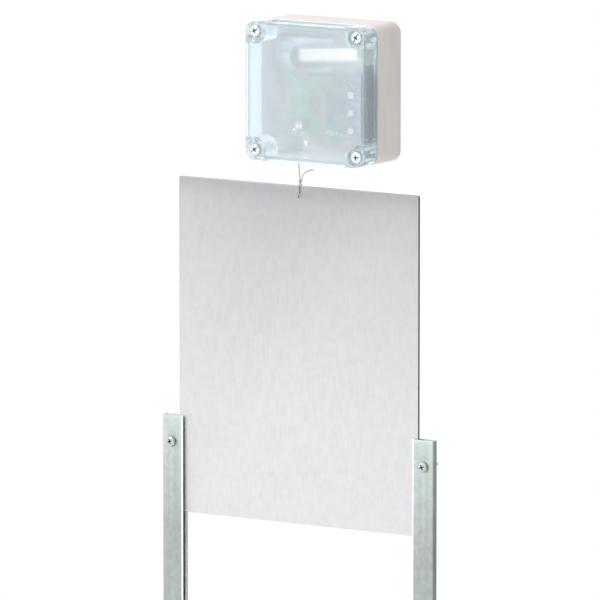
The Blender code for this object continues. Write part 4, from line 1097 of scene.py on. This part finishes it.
def gear(name, at, teeth, turned_by, width, bore_r, holes=0):
    """A moulded gear along -Y, with a thinner web and lightening holes on the larger one."""
    x, z, back = at
    front = back - width
    outline = [(x + u, z + v) for u, v in gear_outline(teeth, turned_by)]
    bm = prism(bmesh.new(), outline, back, front)
    bore = cylinder(bmesh.new(), (x, 0, z), bore_r, back + MM, front - MM, segments=32)
    mesh = carved(mesh_of(name, bm), bore)
    if holes:
        hub_r, rim_r = 4.4 * MM, MODULE * teeth / 2 - 2.6 * MM
        ring = [(hub_r, front - MM), (hub_r, front + 1.2 * MM), (rim_r, front + 1.2 * MM), (rim_r, front - MM)]
        mesh = carved(mesh, lathe(bmesh.new(), (x, 0, z), ring, segments=64, bored=True))
        round_holes = bmesh.new()
        reach = (hub_r + rim_r) / 2
        for i in range(holes):
            angle = 2 * math.pi * i / holes
            place = (x + reach * math.cos(angle), 0, z + reach * math.sin(angle))
            cylinder(round_holes, place, 2.2 * MM, back + MM, front - MM, segments=24)
        mesh = carved(mesh, round_holes)
    return rounded(mesh, 0.12 * MM, 1, 50)


def build_winch():
    """The spool and gears, axle and clip, bracket and gear motor."""
    bore = AXLE_R + GAP
    rim = 0.3 * MM
    back, front = SPOOL_BACK, SPOOL_FRONT
    back_flange, front_flange = 1.2 * MM, 1.0 * MM
    bm = lathe(bmesh.new(), (SPOOL_X, 0, SPOOL_Z), [
        (bore, back), (SPOOL_R - rim, back), (SPOOL_R, back - rim),
        (SPOOL_R, back - back_flange + rim), (SPOOL_R - rim, back - back_flange),
        (DRUM_R, back - back_flange), (DRUM_R, front + front_flange),
        (SPOOL_R - rim, front + front_flange), (SPOOL_R, front + front_flange - rim),
        (SPOOL_R, front + rim), (SPOOL_R - rim, front), (bore, front),
    ], segments=72, bored=True)
    add("spool_drum", bm, "spool", "cord_spool", body="spool")

    low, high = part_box("spool_gear")
    at = (SPOOL_X, SPOOL_Z, high.y)
    wheel = gear("spool_gear_nylon", at, SPOOL_TEETH, 0, high.y - low.y, bore, holes=6)
    add("spool_gear_nylon", wheel, "gear", "spool_gear", body="spool")
    at = (PINION_X, SPOOL_Z, high.y)
    small = gear("drive_pinion_nylon", at, PINION_TEETH, math.pi / PINION_TEETH, high.y - low.y,
                 SHAFT_R + GAP)
    add("drive_pinion_nylon", small, "gear", "drive_pinion", body="pinion")

    low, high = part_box("motor_shaft")
    flat = math.degrees(math.acos(0.72))
    outline = arc((PINION_X, SPOOL_Z), SHAFT_R, flat, 360 - flat, 28)
    bm = prism(bmesh.new(), outline, high.y, low.y)
    shaft = rounded(mesh_of("motor_shaft_steel", bm), 0.15 * MM, 2)
    add("motor_shaft_steel", shaft, "steel", "motor_shaft", body="pinion")

    low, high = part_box("spool_axle")
    tip = low.y
    bm = lathe(bmesh.new(), (SPOOL_X, 0, SPOOL_Z), [
        (0, high.y), (AXLE_R - 0.2 * MM, high.y), (AXLE_R, high.y - 0.2 * MM),
        (AXLE_R, tip + 1.1 * MM), (AXLE_R - 0.4 * MM, tip + 0.9 * MM),
        (AXLE_R - 0.1 * MM, tip + 0.7 * MM), (AXLE_R - 0.5 * MM, tip), (0, tip),
    ], segments=40)
    add("spool_axle_steel", bm, "steel", "spool_axle")

    low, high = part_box("axle_clip")
    inner, outer = AXLE_R + GAP, (high.x - low.x) / 2
    outline = arc((SPOOL_X, SPOOL_Z), outer, 130, 410, 32) + arc((SPOOL_X, SPOOL_Z), inner, 410, 130, 24)
    bm = prism(bmesh.new(), outline, high.y, low.y)
    clip = rounded(mesh_of("axle_clip_steel", bm), 0.12 * MM, 2)
    add("axle_clip_steel", clip, "screw", "axle_clip")

    bracket = rounded(welded("motor_bracket"), 0.25 * MM, 2, 50)
    add("motor_bracket_plate", bracket, "steel", "motor_bracket")
    build_motor()


def build_motor():
    """The gear motor: a ribbed gearbox, a crimped can and a moulded end cap with its tags."""
    low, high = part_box("gear_motor")
    centre = (PINION_X, 0, SPOOL_Z)
    reach = (high.x - low.x) / 2
    rim = 0.4 * MM
    bore = SHAFT_R + GAP
    profile = [(bore, high.y), (reach - rim, high.y), (reach, high.y - rim)]
    for plate in (3.0, 6.0, 9.0):
        y = high.y - plate * MM
        profile += [(reach, y + 0.25 * MM), (reach - 0.5 * MM, y + 0.15 * MM),
                    (reach - 0.5 * MM, y - 0.15 * MM),
                    (reach, y - 0.25 * MM)]
    profile += [(reach, low.y + rim), (reach - rim, low.y), (0, low.y), (0, high.y - 9 * MM),
                (bore, high.y - 9 * MM)]
    bm = lathe(bmesh.new(), centre, profile, segments=64, bored=True)
    add("gear_motor_box", bm, "steel", "gear_motor")

    low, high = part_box("motor_can")
    reach = (high.x - low.x) / 2
    bm = lathe(bmesh.new(), centre, [
        (0, high.y), (reach - rim, high.y), (reach, high.y - rim), (reach, low.y + 1.2 * MM),
        (reach - 0.3 * MM, low.y + 0.9 * MM), (reach - 0.3 * MM, low.y + 0.3 * MM),
        (reach - 0.9 * MM, low.y), (0, low.y),
    ], segments=64)
    slots = bmesh.new()
    for side in (-1, 1):
        x = sorted((PINION_X + side * (reach - 0.6 * MM), PINION_X + side * (reach + MM)))
        block(slots, x, (low.y + 3 * MM, low.y + 6 * MM), around(SPOOL_Z, 2 * MM))
    can = rounded(carved(mesh_of("motor_can_steel", bm), slots), 0.12 * MM, 2, 50)
    add("motor_can_steel", can, "motor", "motor_can")

    low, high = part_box("motor_end_cap")
    reach = (high.x - low.x) / 2
    bm = lathe(bmesh.new(), centre, [
        (0, high.y), (reach, high.y), (reach, low.y + 0.8 * MM), (reach - 0.8 * MM, low.y),
        (4.2 * MM, low.y), (4.0 * MM, low.y + 0.6 * MM), (2.4 * MM, low.y + 0.6 * MM),
        (2.2 * MM, low.y), (0, low.y),
    ], segments=56)
    add("motor_end_cap_moulded", bm, "relay", "motor_end_cap")
    tags = bmesh.new()
    for x in (33.5 * MM, 27.9 * MM):
        soft_block(tags, around(x, 0.25 * MM), (low.y + 0.2 * MM, low.y - 2.2 * MM),
                   around(SPOOL_Z, 1.2 * MM), 0.1 * MM)
    add("motor_tags", tags, "tin")


# ---- Boards ----

def chip_body(bm_body, bm_legs, x, z, half_x, half_z, foot, height, legs, pitch):
    """A surface-mount package with gull-wing legs along both long sides."""
    soft_block(bm_body, around(x, half_x), (foot, foot - height), around(z, half_z), 0.25 * MM)
    for side in (-1, 1):
        for i in range(legs):
            at = z + (i - (legs - 1) / 2) * pitch
            inner, outer = x + side * half_x, x + side * (half_x + 1.1 * MM)
            shoulder = (inner, inner + side * 0.5 * MM)
            toe = (inner + side * 0.4 * MM, outer)
            for span, top in ((shoulder, height * 0.5), (toe, 0.25 * MM)):
                block(bm_legs, sorted(span), (foot, foot - top), around(at, 0.16 * MM))


DOME = (0, 20, 40, 60, 78)  # places around a small lens, in degrees


def build_main_board():
    """The main board, its packages, small parts and terminal block."""
    low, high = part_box("main_board")
    board = rounded(welded("main_board"), 0.12 * MM, 1, 50)
    add("main_board_green", board, "board", "main_board")
    foot = low.y - 0.02 * MM

    bodies, legs = bmesh.new(), bmesh.new()
    a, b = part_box("microcontroller")
    middle = (a + b) / 2
    chip_body(bodies, legs, middle.x, middle.z, (b.x - a.x) / 2 - 1.2 * MM, (b.z - a.z) / 2, foot,
              b.y - a.y, 14, 0.8 * MM)
    chip_body(bodies, legs, 45 * MM, -24.5 * MM, 2 * MM, 2.5 * MM, foot, 1.5 * MM, 4, 1.2 * MM)
    chip_body(bodies, legs, 57 * MM, 3.8 * MM, 2 * MM, 2.5 * MM, foot, 1.5 * MM, 4, 1.2 * MM)
    add("board_chips", bodies, "chip", "microcontroller")

    ends, middles = bmesh.new(), bmesh.new()
    rows = [(9.5 + 3.4 * i, -4.0) for i in range(4)] + [(9.5 + 3.4 * i, -25.5) for i in range(3)]
    rows += [(37.5, -8.0 - 3.2 * i) for i in range(4)] + [(66.8, -5.0 - 3.1 * i) for i in range(6)]
    rows += [(26.5 + 3.0 * i, 3.2) for i in range(4)] + [(33.0, -31.0 - 2.8 * i) for i in range(3)]
    for x, z in rows:
        x, z = x * MM, z * MM
        soft_block(middles, around(x, 0.55 * MM), (foot, foot - 0.55 * MM), around(z, 0.6 * MM), 0.08 * MM)
        for side in (-1, 1):
            span = sorted((x + side * 0.5 * MM, x + side * 1.0 * MM))
            soft_block(ends, span, (foot, foot - 0.6 * MM), around(z, 0.62 * MM), 0.1 * MM)
    for i in range(6):
        x, z = (48.5 + 2.54 * i) * MM, 8.2 * MM
        block(ends, around(x, 0.32 * MM), (foot, foot - 6 * MM), around(z, 0.32 * MM))
    ends.from_mesh(mesh_of("legs", legs))
    add("board_metal", ends, "tin")
    add("board_passives", middles, "ceramic")
    header = soft_block(bmesh.new(), (47.2 * MM, 62.5 * MM), (foot, foot - 2.4 * MM),
                        (7.0 * MM, 9.4 * MM), 0.3 * MM)
    add("pin_header", header, "chip")

    a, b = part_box("motor_driver")
    relay = soft_block(bmesh.new(), (a.x, b.x), (b.y, a.y), (a.z, b.z), 0.5 * MM)
    add("motor_relay", rounded(mesh_of("motor_relay", relay), 0.3 * MM, 2),
        "relay", "motor_driver")
    a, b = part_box("capacitor")
    cx, _, cz = node_centre("capacitor")
    radius = (b.x - a.x) / 2
    can = lathe(bmesh.new(), (cx, 0, cz), [
        (0, b.y), (radius - 0.2 * MM, b.y), (radius, b.y - 0.4 * MM), (radius, b.y - 1.4 * MM),
        (radius - 0.35 * MM, b.y - 1.8 * MM), (radius, b.y - 2.2 * MM), (radius, a.y + 0.4 * MM),
        (radius - 0.4 * MM, a.y + 0.05 * MM), (radius - 0.9 * MM, a.y),
    ], segments=40)
    add("capacitor_can", can, "capacitor", "capacitor")
    lid = lathe(bmesh.new(), (cx, 0, cz), [
        (0, a.y + 1.5 * MM), (radius - 0.9 * MM, a.y + 1.5 * MM), (radius - 0.9 * MM, a.y + 0.1 * MM),
        (0, a.y + 0.1 * MM),
    ], segments=40)
    scores = bmesh.new()
    block(scores, around(cx, 3 * MM), (a.y + 0.4 * MM, a.y - MM), around(cz, 0.15 * MM))
    top = carved(mesh_of("capacitor_top", lid), scores)
    cross = block(bmesh.new(), around(cx, 0.15 * MM), (a.y + 0.4 * MM, a.y - MM), around(cz, 3 * MM))
    add("capacitor_top", carved(top, cross), "tin")

    a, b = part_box("light_sensor")
    dome = bmesh.new()
    radius = (b.x - a.x) / 2
    profile = [(0, b.y), (radius, b.y), (radius, b.y - 0.8 * MM), (radius - 0.3 * MM, b.y - 0.9 * MM)]
    for degrees in DOME:
        t = math.radians(degrees)
        profile.append(((radius - 0.3 * MM) * math.cos(t), b.y - 1.2 * MM - 1.6 * MM * math.sin(t)))
    lathe(dome, ((a.x + b.x) / 2, 0, (a.z + b.z) / 2), profile + [(0, a.y)], segments=32)
    add("light_sensor_dome", dome, "sensor", "light_sensor")
    build_terminals()


def build_terminals():
    """The four-way screw terminal: stepped body, wire entries and slotted screws."""
    a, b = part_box("terminal_block")
    body = bmesh.new()
    step = 2.2 * MM
    outline = [(b.y, a.z), (a.y + step, a.z), (a.y, a.z + step), (a.y, b.z - 0.6 * MM),
               (a.y + 0.6 * MM, b.z), (b.y, b.z)]
    prism(body, outline, a.x, b.x, axis="X")
    cuts = bmesh.new()
    screws = bmesh.new()
    pitch, first, entry_y = 5 * MM, 46.8 * MM, -27 * MM
    top_z = (a.z + b.z) / 2 + 0.8 * MM
    for i in range(4):
        x = first + i * pitch
        cylinder(cuts, (x, entry_y, a.z), 1.1 * MM, -MM, 4 * MM, axis="Z", segments=24)
        cylinder(cuts, (x, 0, top_z), 1.9 * MM, a.y + 2 * MM, a.y - MM, segments=28)
        head = [(0, a.y + 2 * MM), (1.75 * MM, a.y + 2 * MM), (1.75 * MM, a.y + 0.9 * MM),
                (1.5 * MM, a.y + 0.7 * MM), (0, a.y + 0.7 * MM)]
        screw = lathe(bmesh.new(), (x, 0, top_z), head, segments=28)
        groove = block(bmesh.new(), around(x, 2 * MM), (a.y + 1.2 * MM, a.y), around(top_z, 0.3 * MM))
        screws.from_mesh(carved(mesh_of("head", screw), groove))
    mesh = rounded(carved(mesh_of("terminal_body", body), cuts), 0.15 * MM, 1, 50)
    add("terminal_body", mesh, "terminal", "terminal_block")
    add("terminal_screws", screws, "tin")


def build_strip():
    """The control strip: its board, switch bodies, status lamp and the three push buttons."""
    a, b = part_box("control_strip")
    sheet = 1.6 * MM
    front = b.y - sheet
    bm = block(bmesh.new(), (a.x, b.x), (b.y, front), (a.z, b.z))
    recesses = bmesh.new()
    for number in (1, 2, 3):
        low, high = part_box(f"button_{number}")
        x, _, z = node_centre(f"button_{number}")
        well = (high.x - low.x) / 2 + WELL_GAP
        cylinder(recesses, (x, 0, z), well, front - MM, front + WELL_DEPTH, segments=32)
    board = carved(rounded(mesh_of("strip_board", bm), 0.15 * MM, 1), recesses)
    add("strip_board", board, "strip", "control_strip")
    bodies, frames = bmesh.new(), bmesh.new()
    half = 3.1 * MM
    for number in (1, 2, 3):
        low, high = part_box(f"button_{number}")
        x, _, z = node_centre(f"button_{number}")
        well = (high.x - low.x) / 2 + WELL_GAP
        soft_well(bodies, (x, z), half, well, front, front - 1.2 * MM)
        for side_x in (-1, 1):
            for side_z in (-1, 1):
                px, pz = x + side_x * (half + 0.5 * MM), z + side_z * 2.2 * MM
                soft_block(frames, around(px, 0.5 * MM), (front, front - 0.35 * MM),
                           around(pz, 0.35 * MM), 0.08 * MM)
        reach = (high.x - low.x) / 2
        button = lathe(bmesh.new(), (x, 0, z), [
            (0, high.y), (reach, high.y), (reach, low.y + 0.45 * MM),
            (reach - 0.13 * MM, low.y + 0.13 * MM), (reach - 0.45 * MM, low.y), (1.35 * MM, low.y),
            (1.15 * MM, low.y + 0.15 * MM), (1.05 * MM, low.y + 0.4 * MM),
            (0.6 * MM, low.y + 0.46 * MM), (0, low.y + 0.48 * MM),
        ], segments=40)
        mesh = mesh_of(f"button_{number}_cap", button)
        for face in mesh.polygons:
            radius = math.hypot(face.center.x - x, face.center.z - z)
            face.material_index = 1 if radius < 1.12 * MM and face.center.y < high.y - 0.2 * MM else 0
        add(f"button_{number}_cap", mesh,
            ("cream", "ochre"), f"button_{number}", body=f"button_body_{number}")
    add("switch_bodies", bodies, "strip")
    for i in range(5):
        z = (16.5 - 2.0 * i) * MM if i < 3 else (-7.0 - 14.6 * (i - 3)) * MM
        x = 94 * MM
        soft_block(frames, around(x, 1.0 * MM), (front, front - 0.5 * MM), around(z, 0.5 * MM), 0.1 * MM)
    add("strip_pads", frames, "tin")
    a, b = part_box("status_led")
    lamp = bmesh.new()
    radius = (b.x - a.x) / 2
    profile = [(0, b.y), (radius, b.y)]
    for degrees in DOME:
        t = math.radians(degrees)
        profile.append((radius * math.cos(t), b.y - (b.y - a.y) * (0.4 + 0.6 * math.sin(t))))
    lathe(lamp, ((a.x + b.x) / 2, 0, (a.z + b.z) / 2), profile + [(0, a.y)], segments=28)
    add("status_lamp", lamp, "led", "status_led")


def soft_well(bm, at, half, well, back, front):
    """A square switch body with a round well for its button."""
    outer, inner = [], []
    steps = 32
    for i in range(steps):
        angle = 2 * math.pi * (i + 0.5) / steps
        c, s = math.cos(angle), math.sin(angle)
        reach = half / max(abs(c), abs(s))
        outer.append((at[0] + reach * c, at[1] + reach * s))
        inner.append((at[0] + well * c, at[1] + well * s))
    ring_body(bm, outer, inner, back, front)


# ---- Batteries ----

def build_batteries():
    """The holder, the sleeved cells, their springs and contact plates."""
    holder = rounded(welded("battery_holder"), 0.25 * MM, 2, 50)
    add("battery_holder_tray", holder, "holder", "battery_holder")
    plates = bmesh.new()
    for number in (1, 2, 3):
        a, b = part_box(f"battery_cell_{number}")
        x, y = (a.x + b.x) / 2, (a.y + b.y) / 2
        radius = (b.x - a.x) / 2
        top, nub, rim = b.z - 0.9 * MM, 2.7 * MM, 0.8 * MM
        profile = [(0, a.z + 0.15 * MM), (radius - 1.2 * MM, a.z + 0.15 * MM), (radius - 1.0 * MM, a.z)]
        quarter = [math.radians(t) for t in (0, 30, 60, 90)]
        profile += [(radius - rim * (1 - math.sin(t)), a.z + rim * (1 - math.cos(t))) for t in quarter]
        profile += [(radius - rim * (1 - math.cos(t)), top - rim * (1 - math.sin(t))) for t in quarter]
        profile += [(radius - 1.3 * MM, top - 0.12 * MM), (0, top - 0.12 * MM)]
        bm = lathe(bmesh.new(), (x, y, 0), profile, "Z", 48)
        name = f"battery_cell_{number}_sleeve"
        add(name, bm, "cell", f"battery_cell_{number}")
        cap = [(0, top - 0.1 * MM), (nub, top - 0.1 * MM), (nub, top + 0.6 * MM), (nub - 0.3 * MM, b.z),
               (0, b.z)]
        lathe(plates, (x, y, 0), cap, "Z", 32)
        holder_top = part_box("battery_holder")[1].z - 1.1 * MM
        disc = [(0, holder_top - 0.05 * MM), (4.6 * MM, holder_top - 0.05 * MM),
                (4.6 * MM, holder_top - 0.3 * MM), (0, holder_top - 0.3 * MM)]
        lathe(plates, (x, y, 0), disc, "Z", 28)
        a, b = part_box(f"battery_spring_{number}")
        coil = []
        turns, per_turn = 3.5, 24
        for i in range(int(turns * per_turn) + 1):
            share = i / (turns * per_turn)
            angle = 2 * math.pi * turns * share
            reach = (5 - 2.2 * share) * MM
            coil.append(Vector((x + reach * math.cos(angle), y + reach * math.sin(angle),
                                a.z + 0.4 * MM + (b.z - a.z - 0.8 * MM) * share)))
        spring = tube(bmesh.new(), coil, 0.4 * MM, 10)
        name = f"battery_spring_{number}_wire"
        add(name, mesh_of(name, spring, 80), "spring", f"battery_spring_{number}")
    add("cell_contacts", plates, "tin")


def dress_leads():
    """The four leads keep their CAD tubes, with an insulation finish."""
    for node, look in (
        ("battery_lead_red", "red"), ("motor_lead_red", "red"),
        ("battery_lead_black", "black"), ("motor_lead_black", "black"),
    ):
        for slot in NODES[node].material_slots:
            slot.material = LOOKS[look]


LOOKS = make_looks()
build_stage()
build_cord()
build_lid()
build_base()
build_screws()
build_eyelet()
build_door()
build_rails()
build_winch()
build_main_board()
build_strip()
build_batteries()
dress_leads()
